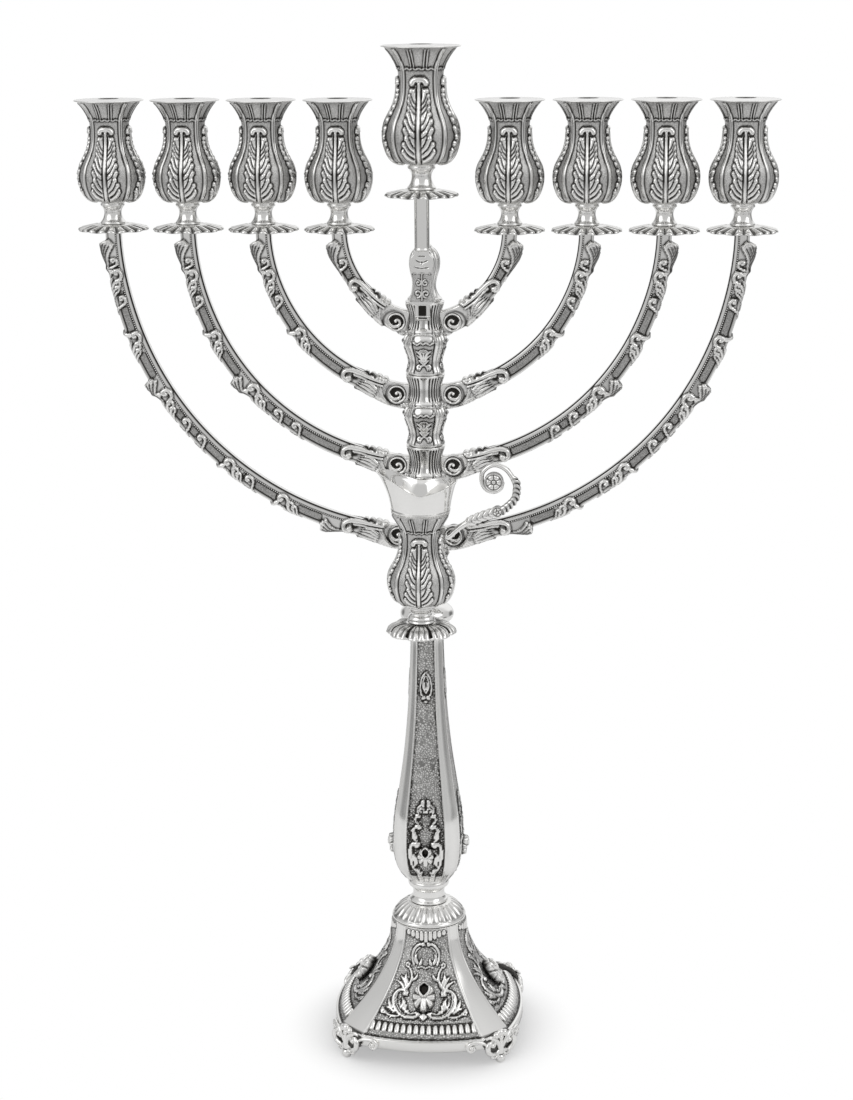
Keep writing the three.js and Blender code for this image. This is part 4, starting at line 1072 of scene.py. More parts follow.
VASE_HEIGHT = 160.0
PANEL_SHARE = 0.62


def vase_ornament(x, z):
    work = Relief(np.abs(x), z)
    # large arabesque round the rosette
    large = through([(5.2, 26.6), (7.6, 27.8), (9.4, 24.6), (9.3, 18.5), (8.0, 12.5), (5.4, 8.2),
                     (4.6, 6.6)], 40)
    work.ridge(large, np.r_[np.linspace(0.9, 1.0, 20), np.linspace(1.0, 0.4, 20)], 0.8)
    work.dome(5.2, 27.0, 2.1, 1.1)
    work.leaflet((6.6, 13.0), (8.6, 21.5), 0.2, 1.3, 0.8)
    work.leaflet((6.0, 15.0), (6.2, 22.0), -0.2, 1.0, 0.75)
    work.leaflet((4.4, 4.8), (6.6, 12.0), 0.15, 1.1, 0.8)
    work.leaflet((3.6, 5.0), (2.2, 9.0), -0.1, 0.8, 0.6)
    # leaves and curls that climb from it
    curl = through([(5.6, 29.4), (7.8, 32.2), (7.4, 36.4), (5.4, 39.2)], 20)
    work.ridge(curl, np.linspace(0.5, 0.8, 20), 0.75)
    work.leaflet((6.8, 30.0), (9.2, 37.5), 0.15, 1.2, 0.75)
    work.leaflet((5.6, 31.0), (5.8, 36.0), -0.1, 0.9, 0.7)
    work.dome(4.2, 38.4, 1.55, 0.95)
    work.ridge(through([(4.4, 40.4), (6.2, 42.6), (5.4, 45.6)], 14), np.linspace(0.4, 0.75, 14), 0.7)
    work.dome(4.4, 45.2, 1.2, 0.85)
    work.ridge(scroll(2.7, 48.6, 1.7, 0.6, -150, -0.85, 20), 0.6, 0.8)
    work.ridge(through([(4.4, 47.0), (4.9, 50.0), (3.2, 51.4)], 12), 0.5, 0.7)
    work.leaflet((1.4, 51.0), (0.4, 55.6), -0.25, 1.1, 0.8)
    work.dome(0, 47.6, 0.9, 0.6)
    # oval ornament near the top
    work.ridge(through([(0.6, 118), (2.6, 119.6), (3.3, 124), (2.6, 129.6), (0.5, 133)], 24), 0.5, 0.6)
    work.ridge(through([(0.3, 121), (1.5, 123.6), (1.7, 127.6), (0.6, 131)], 18), 0.42, 0.55)
    work.ridge(scroll(1.5, 117.4, 0.95, 0.4, 90, -0.9, 14), 0.4, 0.6)
    work.leaflet((0.2, 122.5), (0.6, 128), -0.1, 0.6, 0.55)
    work.dome(0, 115.4, 0.8, 0.55)
    return work.height


def vase_skin():
    parts = [
        [(4.0, 0.1), (12.6, 0.0)],
        [(13.2, 0.3), (13.8, 1.6), (16.4, 5.6), (18.6, 11.2), (19.75, 19.0), (20.1, 27.2), (19.3, 41.6),
         (16.7, 59.2), (13.3, 84.8), (10.85, 113.6), (9.55, 142.4), (9.35, 154.4), (9.9, 159.0)],
        [(9.8, 159.8), (9.4, 160.0), (4.0, 159.9)],
    ]
    rows, marks = profile(parts, 0.74)
    panel, strip = 30, 8
    reach = rows[:, :1]
    half = reach * PANEL_SHARE
    # a slightly bowed panel, then the strip that turns the corner to the next one
    across = (np.arange(panel) + 0.5) / panel * 2 - 1
    panel_x = half * across
    panel_y = -(reach + 0.035 * reach * (1 - across ** 2))
    turn_share = (np.arange(strip) + 0.5) / strip
    puff = 1 + 0.022 * np.sin(np.pi * turn_share)
    x = np.concatenate([panel_x, mix(half, reach, turn_share) * puff], 1)
    y = np.concatenate([panel_y, mix(-reach, -half, turn_share) * puff], 1)
    z = rows[:, 1:] + 0 * x
    in_body = (marks == 1)[:, None]
    ornament = vase_ornament(panel_x, z[:, :panel])
    border = half - np.abs(panel_x)
    field = smooth(0.5, 1.0, border) * smooth(4.6, 5.2, z[:, :panel])
    # tongues round the foot
    tongue = around_flutes(np.arctan2(panel_x, reach), 28)
    foot = smooth(0.4, 1.2, z[:, :panel]) * smooth(5.2, 4.6, z[:, :panel] - 0.8 * (1 - tongue ** 2))
    work = ornament * smooth(0.2, 0.9, border) - 0.3 * field * (ornament < 0.05)
    work = work + foot * (0.7 * np.clip(1 - tongue ** 2, 0, 1) ** 0.5 - 0.2) + 0.25 * hump(border - 0.35, 0.4)
    height, matt = np.zeros_like(x), np.zeros_like(x)
    height[:, :panel] = work
    height = np.tile(np.where(in_body, height, 0), 4)
    matt[:, :panel] = field * (1 - smooth(0.05, 0.35, ornament)) * in_body
    matt = np.tile(matt, 4)
    grid = raised(np.concatenate(four_sides(np.stack([x, y, z], -1)), 1), height)
    return Skin().add(grid, np.clip(0.95 * cavity(height, True, 0.3, 4) + 0.06 * matt, 0, 1), matt)


def raised(grid, height):
    """The grid pushed out along its own normals."""
    across = np.roll(grid, -1, 1) - np.roll(grid, 1, 1)
    normal = np.cross(across, np.gradient(grid, axis=0))
    normal /= np.maximum(np.linalg.norm(normal, axis=-1, keepdims=True), 1e-9)
    return grid + normal * height[..., None]


# Base: stamped skirt, rim, fluted dome, neck, rosettes and feet

RIM_SIDE = 58.3
RIM_CORNER = 52.0
RIM_HALF = 37.5
FOOT_HEIGHT = 10.4
RIM_TOP = 16.6
FLARE_BOTTOM = 17.4
FLARE_HEIGHT = 57.3
FLARE_POWER = 1.9
SKIRT_TOP_RADIUS = 22.8
SKIRT_ANGLE = math.radians(38)
LEDGE = 1.5
LOBE_TOP = 10.7


def skirt_ornament(x, y):
    """Chased work of one panel: y runs up the slope from the rim."""
    work = Relief(np.abs(x), np.interp(y, (0, 14, 30.7, 59.5, 70), (0, 14.3, 35.2, 65, 75.8)))
    # great scroll round the rosette
    great = through([(3.0, 17.0), (6.0, 14.6), (11.5, 14.8), (16.2, 18.4), (18.8, 24.2), (18.6, 30.2),
                     (15.6, 34.6), (12.2, 35.0), (10.8, 32.6)], 60)
    work.ridge(great, np.r_[np.linspace(0.6, 1.15, 30), np.linspace(1.15, 0.8, 30)], 0.95)
    work.ridge(great * np.array([0.88, 1]) + np.array([0.6, 1.2]), 0.38, 0.5)
    work.dome(11.6, 32.6, 1.9, 1.3)
    work.dome(3.4, 18.0, 1.6, 1.0)
    work.ridge(through([(4.6, 19.0), (8.0, 17.6), (11.2, 19.0)], 16), np.linspace(0.5, 0.8, 16), 0.7)
    for k in range(4):
        work.leaflet((9.0 + 1.5 * k, 17.6 + 1.2 * k), (9.4 + 1.9 * k, 21.2 + 2.3 * k), -0.12, 0.75, 0.7)
    work.leaflet((14.4, 21.0), (13.6, 29.8), 0.18, 1.35, 0.9)
    work.leaflet((12.8, 20.4), (10.8, 25.4), 0.1, 0.9, 0.7)
    # fleur at the bottom
    work.leaflet((0.3, 13.4), (0, 20.0), 0.0, 1.1, 0.9)
    work.leaflet((0.8, 14.2), (2.0, 17.4), -0.1, 0.7, 0.7)
    # leaves outside the scroll
    outer = through([(15.0, 15.4), (19.5, 14.6), (23.6, 16.6), (25.4, 19.4)], 20)
    work.ridge(outer, np.linspace(0.5, 0.8, 20), 0.75)
    work.ridge(scroll(24.6, 17.0, 1.7, 0.6, 30, -0.9, 18), 0.6, 0.85)
    work.leaflet((18.0, 17.4), (24.0, 20.8), 0.15, 1.1, 0.8)
    work.leaflet((19.2, 20.0), (21.8, 27.4), -0.12, 1.1, 0.8)
    work.leaflet((16.0, 14.8), (21.0, 13.2), 0.1, 0.8, 0.6)
    # climbing S and its leaf sprays
    climb = through([(12.4, 35.6), (9.8, 38.6), (8.2, 43.0), (8.8, 47.4), (10.2, 50.0)], 30)
    work.ridge(climb, np.linspace(0.9, 0.55, 30), 0.8)
    work.ridge(scroll(10.6, 51.2, 1.6, 0.55, -110, 0.9, 18), 0.6, 0.9)
    work.leaflet((11.2, 37.0), (15.6, 44.0), 0.12, 1.15, 0.8)
    work.leaflet((10.2, 39.0), (11.8, 46.0), -0.12, 1.0, 0.75)
    work.leaflet((12.6, 36.0), (18.0, 40.4), 0.15, 1.0, 0.7)
    work.leaflet((8.0, 41.6), (4.6, 46.6), 0.15, 0.8, 0.6)
    # lyre at the top
    lyre = through([(7.2, 51.6), (8.2, 55.6), (7.6, 60.4), (4.8, 64.0), (1.4, 65.0)], 30)
    work.ridge(lyre, np.linspace(0.7, 0.9, 30), 0.9)
    work.ridge(through([(6.0, 53.0), (6.7, 56.4), (6.0, 60.0), (3.6, 62.6)], 24), 0.4, 0.55)
    work.dome(1.7, 64.4, 1.15, 0.9)
    work.leaflet((4.8, 52.0), (5.4, 58.4), -0.18, 1.1, 0.7)
    work.leaflet((4.0, 51.4), (2.6, 56.0), 0.12, 0.9, 0.6)
    work.ridge(through([(0, 49.6), (2.2, 50.6), (4.6, 50.0)], 12), 0.5, 0.65)
    # hanging lobes under the top edge, longest in the middle
    fringe = Relief(np.abs(x), y)
    for k in range(5):
        fringe.ridge(np.array([[2.7 * k, 66.2], [2.7 * k, 61.4 + 0.95 * k]]), 1.2, 0.85, crown=0.35)
    return np.maximum(work.height, fringe.height)


def flare(climb):
    """How far the skirt has closed in towards its top at a share of its height."""
    return 1 - (1 - climb) ** FLARE_POWER


def skirt_plan(step, share, inset):
    """One panel seen from above, from its left (-1) to its right (1), at a share of the flare."""
    bow = (RIM_SIDE - RIM_CORNER) * (1 - step ** 2)
    rim_x, rim_y = step * (RIM_HALF - inset / 2), -(RIM_CORNER + bow - inset)
    top = SKIRT_TOP_RADIUS - inset
    x = mix(rim_x, top * np.sin(step * SKIRT_ANGLE), share)
    return x, mix(rim_y, -top * np.cos(step * SKIRT_ANGLE), share)


def skirt_skin():
    climbs = np.linspace(0, 1, 116)
    panel, strip = 88, 22
    # rows as height, share of the flare and inset: under edge, rim band, ledge, then the flare
    levels = [(FOOT_HEIGHT + 1.5, 0, 1.4), (FOOT_HEIGHT, 0, 1.2), (FOOT_HEIGHT, 0, 0.3),
              (FOOT_HEIGHT + 0.3, 0, 0.0), (FOOT_HEIGHT + 3.0, 0, 0.05), (RIM_TOP - 0.5, 0, 0.0),
              (RIM_TOP - 0.1, 0, 0.15), (RIM_TOP + 0.05, 0, 0.5), (RIM_TOP + 0.05, 0, 1.1),
              (RIM_TOP + 0.15, 0, 1.4)]
    first, last = len(levels), len(levels) + len(climbs)
    levels += zip(FLARE_BOTTOM + climbs * FLARE_HEIGHT, flare(climbs), LEDGE * (1 - climbs))
    levels += [(FLARE_BOTTOM + FLARE_HEIGHT + 0.02, 1, inset) for inset in (1.0, 16.0)]
    step = (np.arange(panel) + 0.5) / panel * 2 - 1
    turn_share = (np.arange(strip) + 0.5) / strip
    puff = 1 + 0.006 * np.sin(np.pi * turn_share)
    side = np.zeros((len(levels), panel + strip, 3))
    for row, (z, share, inset) in enumerate(levels):
        side[row, :panel, 0], side[row, :panel, 1] = skirt_plan(step, share, inset)
        edge_x, edge_y = skirt_plan(np.array([1.0]), share, inset)
        side[row, panel:, 0] = mix(edge_x, -edge_y, turn_share) * puff
        side[row, panel:, 1] = mix(edge_y, -edge_x, turn_share) * puff
        side[row, :, 2] = z

    # chased work of the panel, its sunk ground and the raised line round it
    work_area = (slice(first, last), slice(0, panel))
    x = side[work_area][..., 0]
    y = run_along(side[first:last, panel // 2])[:, None] + 0 * x
    ornament = skirt_ornament(x, y)
    border = np.abs(x[:, -1:]) + (x[:, -1:] - x[:, -2:-1]) / 2 - np.abs(x)
    edge = smooth(0.9, 1.5, border)
    behind_lobes = smooth(3.7, 4.1, y) * smooth(LOBE_TOP + 0.2, LOBE_TOP - 0.2, y) * smooth(1.6, 2.2, border)
    ornament = ornament * smooth(11.0, 11.6, y)
    line = 0.35 * hump(border - 0.8, 0.5)
    work = np.maximum(ornament - 0.3 * behind_lobes, line * smooth(2.0, 3.2, y))
    height, field, drawn = np.zeros((3, len(levels), panel + strip))
    height[work_area] = work - 0.35 * (edge * smooth(0.4, 1.0, y))
    field[work_area] = edge * (1 - smooth(0.02, 0.3, ornament)) * smooth(67.2, 66.4, y)
    drawn[work_area] = 0.75 * behind_lobes + 0.75 * outlined(ornament, False, 0.3)
    height = np.tile(height, 4)
    grid = raised(np.concatenate(four_sides(side), 1), height)
    patina = np.clip(0.6 * cavity(height, True, 0.3, 4) + np.tile(drawn, 4), 0, 1)
    patina[:first] = 0
    patina[first:first + 2] = 0.7
    inside = hollow_rows(grid[0])
    blank = np.zeros(inside.shape[:2])
    patina = np.concatenate([blank + 0.55, patina], 0)
    ground = np.concatenate([blank, np.tile(field, 4)], 0)
    return Skin().add(np.concatenate([inside, grid], 0), patina, ground)


GADROON_CLIMB = 0.073
GADROON_LEAN = math.radians(42.6)


def gadroon_guides():
    """Where the row of lobes lies on each panel, a little above the rim."""
    share = flare(GADROON_CLIMB)
    step = np.linspace(-0.9, 0.9, 41)
    rim_y = -(RIM_CORNER + (RIM_SIDE - RIM_CORNER) * (1 - step ** 2) - LEDGE * (1 - GADROON_CLIMB))
    x = mix(step * RIM_HALF, SKIRT_TOP_RADIUS * np.sin(step * SKIRT_ANGLE), share)
    y = mix(rim_y, -SKIRT_TOP_RADIUS * np.cos(step * SKIRT_ANGLE), share)
    z = np.full(41, FLARE_BOTTOM + GADROON_CLIMB * FLARE_HEIGHT - 0.1)
    return four_sides(np.stack([x, y, z], 1))


def hollow_rows(edge):
    """Rows of the hollow under the skirt, from its ceiling down to the lower edge of the rim."""
    reach = np.linalg.norm(edge[:, :2], axis=1, keepdims=True)
    rows = []
    for climb in np.linspace(1, 0, 14):
        top = edge[:, :2] / reach * (SKIRT_TOP_RADIUS - 2.5)
        flat = mix(edge[:, :2] * (1 - 1.5 / reach), top, flare(climb))
        z = FLARE_BOTTOM + climb * FLARE_HEIGHT - 2.4
        rows.append(np.concatenate([flat, np.full((len(flat), 1), z)], 1))
    return np.stack(rows)


def dome_skin(columns=224, flutes=28):
    parts = [
        [(4, 0.15), (22.0, 0)],
        [(22.4, 0.2), (22.7, 1.0), (22.3, 1.9)],
        [(21.8, 2.1), (20.6, 3.8), (18.6, 6.1), (16.0, 8.2), (13.4, 9.7), (12.4, 10.0)],
        [(12.2, 10.1), (11.6, 10.3), (4, 10.3)],
    ]
    rows, marks = profile(parts, 0.5)
    around = angles(columns)
    flute = around_flutes(around, flutes)[None] + 0 * rows[:, :1]
    z = rows[:, 1:] + 0 * around
    run = (marks == 2)[:, None]
    ends = smooth(2.1, 3.3, z - 0.5 * (1 - flute ** 2)) * smooth(10.0, 9.0, z)
    height = np.where(run, ends * (0.55 - 0.85 * hump(flute, 0.82) ** 0.6), 0)
    dark = cavity(height, True, 0.35, 3) + np.where(run, 0.45 * smooth(5.5, 3.0, z) * (1 - np.abs(flute)), 0)
    return Skin().add(turned(rows, columns, height), np.clip(dark, 0, 1))


def plain_turned(parts, columns=96):
    rows, _ = profile(parts, 0.5)
    return Skin().add(turned(rows, columns))


def leaf_boss(half, rise, stretch):
    """An acanthus leaf round a hollow bud, cast on its own and pinned on. It rises along Z."""
    rings, columns = 20, 96
    share = np.linspace(0, 1, rings)[1:, None]
    around = angles(columns)
    spread = ((90, 0.98), (42, 0.96), (0, 1.0), (-38, 0.98), (-90, 1.0))
    lobe = np.zeros(columns)
    for degrees, length in spread:
        for side in (degrees, 180 - degrees):
            off = np.degrees(np.angle(np.exp(1j * (around - math.radians(side)))))
            lobe = np.maximum(lobe, length * hump(off, 26) ** 0.5)
    reach = half * (0.74 + 0.26 * lobe)
    x, y = share * reach * np.cos(around), share * reach * np.sin(around) * stretch
    side = Relief(np.abs(x), y)
    bump = rise * 0.35 * (1 - share ** 2.4) ** 0.6 + 0 * around
    for degrees, length in spread[1:]:
        a = math.radians(degrees)
        tip = np.array([math.cos(a), math.sin(a) * stretch]) * half * length * 0.88
        root = np.array([0.06 * half, 0.02 * half])
        bent = (root + tip) / 2 + np.array([0.06 * half, -0.08 * half])
        line = through([root, bent, tip], 12)
        side.ridge(line, np.linspace(0.12, 0.3, 12) * half, rise * np.linspace(0.4, 0.66, 12))
    arch = through([(0.1, 0.0), (0.4, 0.3), (0.4, 0.68), (0, 0.94)], 20) * half * np.array([1, stretch])
    side.ridge(arch, half * 0.15, rise * 0.85)
    up = (y - 0.48 * half * stretch) / (0.38 * half * stretch)
    hollow = np.clip(1 - (x / (0.34 * half)) ** 2 - up ** 2, 0, 1) ** 0.5
    level = bump + side.height * smooth(1.0, 0.86, share) - 0.3 * rise * hollow
    dark = 0.9 * cavity(level, True, 0.4, 3) + 0.7 * outlined(side.height, True, 0.3 * rise, 1) + 1.4 * hollow
    # painted shade round the edge, where the boss stands off the panel
    dark = np.clip(dark + 0.6 * smooth(0.9, 1.0, share), 0, 1)
    top = np.stack([x, y, level + 0.22 * rise], -1)
    bottom = np.stack([x * 0.9, y * 0.9, np.zeros_like(level)], -1)
    # the underside against the panel is painted dark as shade
    patina = np.concatenate([np.ones_like(dark), dark[::-1]], 0)
    return Skin().add(np.concatenate([bottom, top[::-1]], 0), patina)


# Feet: openwork of crossing scrolls under a three-lobed bud, on a ball toe

def foot_skin():
    """A foot with the corner's diagonal along +X."""
    back = (RIM_HALF + RIM_CORNER) * math.sqrt(0.5) + SEAT_GAP
    middle = back + 2.0
    skin = Skin()

    def rod(points, radii, out, hand=1):
        line = through([(hand * across, up) for across, up in points], 26)
        share = np.linspace(0, 1, 26)
        ahead = middle + np.interp(share, np.linspace(0, 1, len(out)), out)
        thick = np.interp(share, np.linspace(0, 1, len(radii)), radii)
        grid = tube(np.stack([ahead, line[:, 0], line[:, 1]], 1), thick)
        # painted shade: each rod darkens the further back it lies in the foot
        skin.add(grid, np.clip((middle + 0.5 - grid[..., 0]) / 1.2, 0, 1))

    # plate behind the scrolls, painted dark as the shade seen through the gaps between them
    outline = through([(0, 19.2), (3.0, 19.6), (6.0, 18.6), (8.6, 16.0), (9.0, 12.0), (7.6, 8.6), (5.4, 6.0),
                       (2.4, 4.6), (0, 4.0)], 30)
    loop = np.vstack([outline, (outline * np.array([-1, 1]))[-2:0:-1]])
    centre = np.array([0, 11.6])
    rows = []
    for share, out in ((0.02, 0.9), (0.5, 0.8), (0.9, 0.6), (1.0, 0.0), (1.0, -1.2), (0.9, -1.5),
                       (0.02, -1.5)):
        depth = np.full((len(loop), 1), middle - 0.2 + out)
        rows.append(np.concatenate([depth, centre + (loop - centre) * share], 1))
    skin.add(np.stack(rows)[:, ::-1], 0.92)
    for hand in (-1, 1):
        rod([(0.6, 8.4), (4.2, 6.8), (8.0, 8.8), (8.9, 12.6), (7.0, 15.2), (4.4, 14.3), (4.2, 11.9),
             (5.9, 11.5)], (1.0, 1.45, 1.55, 1.25, 0.9), (0.9, 1.6, 0.8), hand)
        rod([(0.9, 9.0), (2.0, 12.6), (3.8, 15.8), (6.8, 18.0), (9.4, 17.8)],
            (0.8, 1.2, 1.3, 0.7), (1.2, 2.0, 0.6), hand)
        rod([(1.0, 7.4), (3.0, 4.8), (5.4, 4.8), (5.8, 6.7), (4.4, 7.3)], (0.9, 1.1, 0.8), (1.2, 0.8), hand)
        skin.add(bead((middle + 1.4, hand * 5.7, 12.8), 1.45))
        skin.add(bead((middle + 0.9, hand * 2.7, 18.0), 2.1, (0.9, 1, 1)))
    skin.add(bead((middle + 1.3, 0, 19.2), 2.3, (0.9, 1, 0.95)))
    skin.add(bead((middle + 1.6, 0, 16.0), 1.5, (0.8, 1, 1.2)))
    rod([(0, 15.0), (0, 11.0), (0, 6.2)], (1.0, 1.5, 2.0), (1.2, 1.5, 0.8))
    skin.points = [points * np.array([1, 1.2, 1.04]) for points in skin.points]
    # ball toe, and the pad and block under the rim, painted dark as the shade under it
    skin.add(bead((middle + 0.6, 0, 3.15), 3.1, (1, 1, 1), 14, 24))
    skin.add(bead((middle + 0.6, 0, 6.0), 2.3, (1, 1, 0.4), 8, 20), 0.9)
    skin.add(box_rows((back - 6.8, -5.8, 6.8), (middle, 5.8, FOOT_HEIGHT - SEAT_GAP)), 0.5)
    # side volutes that lie along the rim
    corner = (RIM_CORNER - RIM_HALF) * math.sqrt(0.5)
    run = math.radians(45) + math.atan2((RIM_SIDE - RIM_CORNER) * (1 - 0.6 ** 2), RIM_HALF * 0.4)
    lean = math.pi / 2 - run
    for hand in (-1, 1):
        ahead = np.array([-math.sin(lean), hand * math.cos(lean)])
        outward = np.array([math.cos(lean), hand * math.sin(lean)])
        start = np.array([back - SEAT_GAP, hand * corner])

        def on_rim(points, out):
            line = np.asarray(points, float)
            flat = start + line[:, :1] * ahead + (SEAT_GAP + out) * outward
            return np.concatenate([flat, line[:, 1:]], 1)

        arc = through([(-3.0, 12.4), (0.5, 15.2), (4.6, 16.0), (8.8, 15.6), (10.8, 12.8), (8.6, 10.4),
                       (6.2, 12.0), (7.4, 14.0)], 36)
        skin.add(tube(on_rim(arc, 1.35), np.r_[np.linspace(1.0, 1.35, 20), np.linspace(1.3, 0.85, 16)], 10))
        skin.add(bead(on_rim([(8.2, 12.9)], 1.5)[0], 1.5))
        # a thin disc behind the ball, painted dark as the shade in the recess beside it
        skin.add(bead(on_rim([(8.0, 12.9)], 0.1)[0], 2.6, (0.25, 1, 1)), 1.0)
    return skin


def box_rows(low, high, edge=0.25, corner=0.3):
    """A block with its edges eased, as rows from its underside to its top."""
    x0, y0, z0 = low
    x1, y1, z1 = high
    rows = []
    for inset, z in ((edge, z0), (0, z0 + edge), (0, z1 - edge), (edge, z1)):
        a, b, c, d = x0 + inset, x1 - inset, y0 + inset, y1 - inset
        rows.append([(a + corner, c, z), (b - corner, c, z), (b, c + corner, z), (b, d - corner, z),
                     (b - corner, d, z), (a + corner, d, z), (a, d - corner, z), (a, c + corner, z)])
    return np.array(rows)


# Plain turned pieces: knop, neck, rod

def knop_skin():
    return plain_turned([
        [(3.5, 0.1), (8.8, 0)],
        [(9.2, 0.2), (9.4, 1.0), (9.1, 1.7)],
        [(9.3, 1.9), (12.6, 2.7), (15.2, 4.8), (16.0, 7.6), (15.2, 10.2), (12.6, 12.6), (10.2, 14.2),
         (9.3, 15.2)],
        [(9.6, 15.4), (9.9, 15.9), (9.5, 16.4)],
        [(9.0, 16.6), (8.5, 18.6), (8.6, 21.0), (9.6, 23.6)],
        [(10.0, 23.8), (10.5, 24.5), (10.2, 25.2)],
        [(9.9, 25.3), (3.5, 25.2)],
    ])


def neck_skin():
    return plain_turned([
        [(3.5, 0.1), (11.2, 0)],
        [(11.6, 0.1), (11.9, 0.8), (11.5, 1.5)],
        [(11.0, 1.7), (9.9, 3.2), (9.6, 5.4), (9.8, 7.6), (10.6, 9.4)],
        [(10.9, 9.6), (12.1, 10.4), (12.6, 12.0), (12.3, 13.6), (11.6, 14.4)],
        [(11.3, 14.6), (11.7, 15.2), (11.3, 15.9)],
        [(11.0, 16.0), (3.5, 16.0)],
    ])


def rod_skin():
    return plain_turned([
        [(0.5, -6), (1.9, -5.9)],
        [(2, -5.6), (2, -0.1)],
        [(2.1, 0), (4.3, 0)],
        [(4.6, 0.1), (4.8, 0.6), (4.6, 1.1)],
        [(4.35, 1.2), (4.35, 30.6)],
        [(4.5, 30.7), (4.7, 31.1), (4.5, 31.45)],
        [(4.3, 31.5), (2.1, 31.5)],
        [(2, 31.6), (2, 40.3)],
        [(1.9, 40.4), (0.5, 40.5)],
    ], 72)


# Serving light's bracket: a shaped plate with engraved lines

def bracket_skin():
    outline = through([(4.2, 0), (7.3, 1.2), (7.5, 3.4), (6.3, 7.0), (5.8, 11.0), (5.9, 14.2), (6.9, 18.6),
                       (7.5, 22.8), (7.0, 26.6), (5.4, 28.6), (4.7, BRACKET_HEIGHT)], 90)
    half, level = outline[:, :1], outline[:, 1:]
    x = half * np.linspace(-1, 1, 40)[None]
    z = level + 0 * x
    edge = half - np.abs(x)
    depth = 3.0 * np.minimum(1, np.sqrt(np.clip(edge / 0.9 + 0.12, 0, 1)))
    face = Relief(x, z)
    face.groove(np.array([[-1.7, 27.8], [1.7, 27.8]]), 0.45, 0.55)
    face.groove(through([(-3.0, 25.2), (0, 24.2), (3.0, 25.2)], 12), 0.55, 0.6)
    face.groove(np.array([[0, 24.4], [0, 23.4]]), 0.6, 0.6)
    face.groove(through([(-3.6, 21.4), (0, 20.9), (3.6, 21.4)], 12), 0.5, 0.55)
    lower = Relief(np.abs(x), z)
    lower.ridge(scroll(2.0, 12.6, 1.8, 0.5, 90, 1.1, 26), 0.42, 0.4)
    lower.ridge(scroll(2.4, 6.4, 2.2, 0.6, -90, -1.1, 28), 0.45, 0.4)
    lower.ridge(np.array([[0, 3.0], [0, 17.5]]), np.array([0.6, 0.3]), 0.45)
    lower.ridge(through([(0, 17.8), (2.4, 18.6), (4.6, 17.8)], 12), 0.4, 0.35)
    field = smooth(18.6, 17.6, level) * smooth(0.7, 1.1, edge) * smooth(1.2, 2.0, level)
    height = face.height + np.maximum(lower.height, 0) * field - 0.2 * field
    dark = np.clip(cavity(height, False, 0.22, 3) + 0.8 * outlined(lower.height * field, False, 0.2), 0, 1)
    front = np.stack([x, -depth - height, z], -1)
    back = np.stack([x, depth, z], -1)[:, ::-1]
    grid = np.concatenate([front, back], 1) + np.array([0, -SERVER_REACH, 0])
    matt = field * (lower.height < 0.1)
    skin = Skin().add(grid, np.concatenate([dark, 0 * dark], 1), np.concatenate([matt, 0 * field], 1) * 0.8)
    tongue = box_rows((-2.4, -TONGUE_REACH - 0.9, -7.5), (2.4, -TONGUE_REACH + 0.9, 0.6), 0.2)
    # the tongue is painted dark: oxide, and the shade of the pocket it hangs in
    return skin.add(tongue, 0.9)


# Keepers on the collars

def keeper_skin():
    """A pocket for a hanging tongue, open on top, with a shallow window in its front painted dark as the
    shade inside; height 0 is its top.
    """
    corner_count, back, front = 10, -8.9, -16.6

    def plan(half, near, far, round_off):
        points = []
        for index, (x, y) in enumerate(((half, far), (half, near), (-half, near), (-half, far))):
            inward = np.array([-math.copysign(round_off, x), round_off if y == near else -round_off])
            for step in range(corner_count):
                a = math.radians((90, 0, 270, 180)[index] - 90 * step / (corner_count - 1))
                points.append(np.array([x, y]) + inward + round_off * np.array([math.cos(a), math.sin(a)]))
        loop = np.array(points)
        return even(np.vstack([loop, loop[:1]]), 121)[:-1]

    outer, slot = plan(4.4, front, back, 0.8), plan(2.6, -15.7, -13.5, 0.3)
    middle = outer.mean(0)
    heights = np.r_[-10.0, -9.9, np.linspace(-9.6, -0.35, 34), -0.12, 0.0]
    inset = np.r_[0.5, 0.15, np.zeros(34), 0.12, 0.4]
    rows, patina = [], []
    for z, step in zip(heights, inset):
        ring = middle + (outer - middle) * (1 - step / 4.4)
        taper = smooth(-6.6, -10.0, z) * 0.45
        ring = np.stack([ring[:, 0], mix(ring[:, 1], back, taper * (ring[:, 1] < back - 1))], 1)
        at_front = smooth(front + 1.5, front + 0.9, ring[:, 1])
        shaded_window = smooth(2.3, 1.9, np.abs(ring[:, 0])) * smooth(-7.0, -6.5, z) * smooth(-0.6, -1.0, z) * at_front
        lip = hump(np.abs(ring[:, 0]) - 2.75, 0.5) * at_front * smooth(-8.0, -7.4, z)
        ring[:, 1] += 0.75 * shaded_window - 0.2 * lip * (z < -0.5)
        rows.append(np.concatenate([ring, np.full((120, 1), z)], 1))
        patina.append(np.clip(1.4 * shaded_window, 0, 1))
    # the walls of the slot inside are painted dark as shade
    for share, z in ((0.5, 0.02), (0.97, 0.0), (1.0, -0.3), (1.0, -8.4)):
        rows.append(np.concatenate([mix(outer, slot, share), np.full((120, 1), z)], 1))
        patina.append(np.full(120, 0.9 if z < -0.1 else 0.05))
    return Skin().add(np.stack(rows), np.stack(patina))


# Oil jug: petalled foot, leafed body with a hook, polished collar and scrolled handle

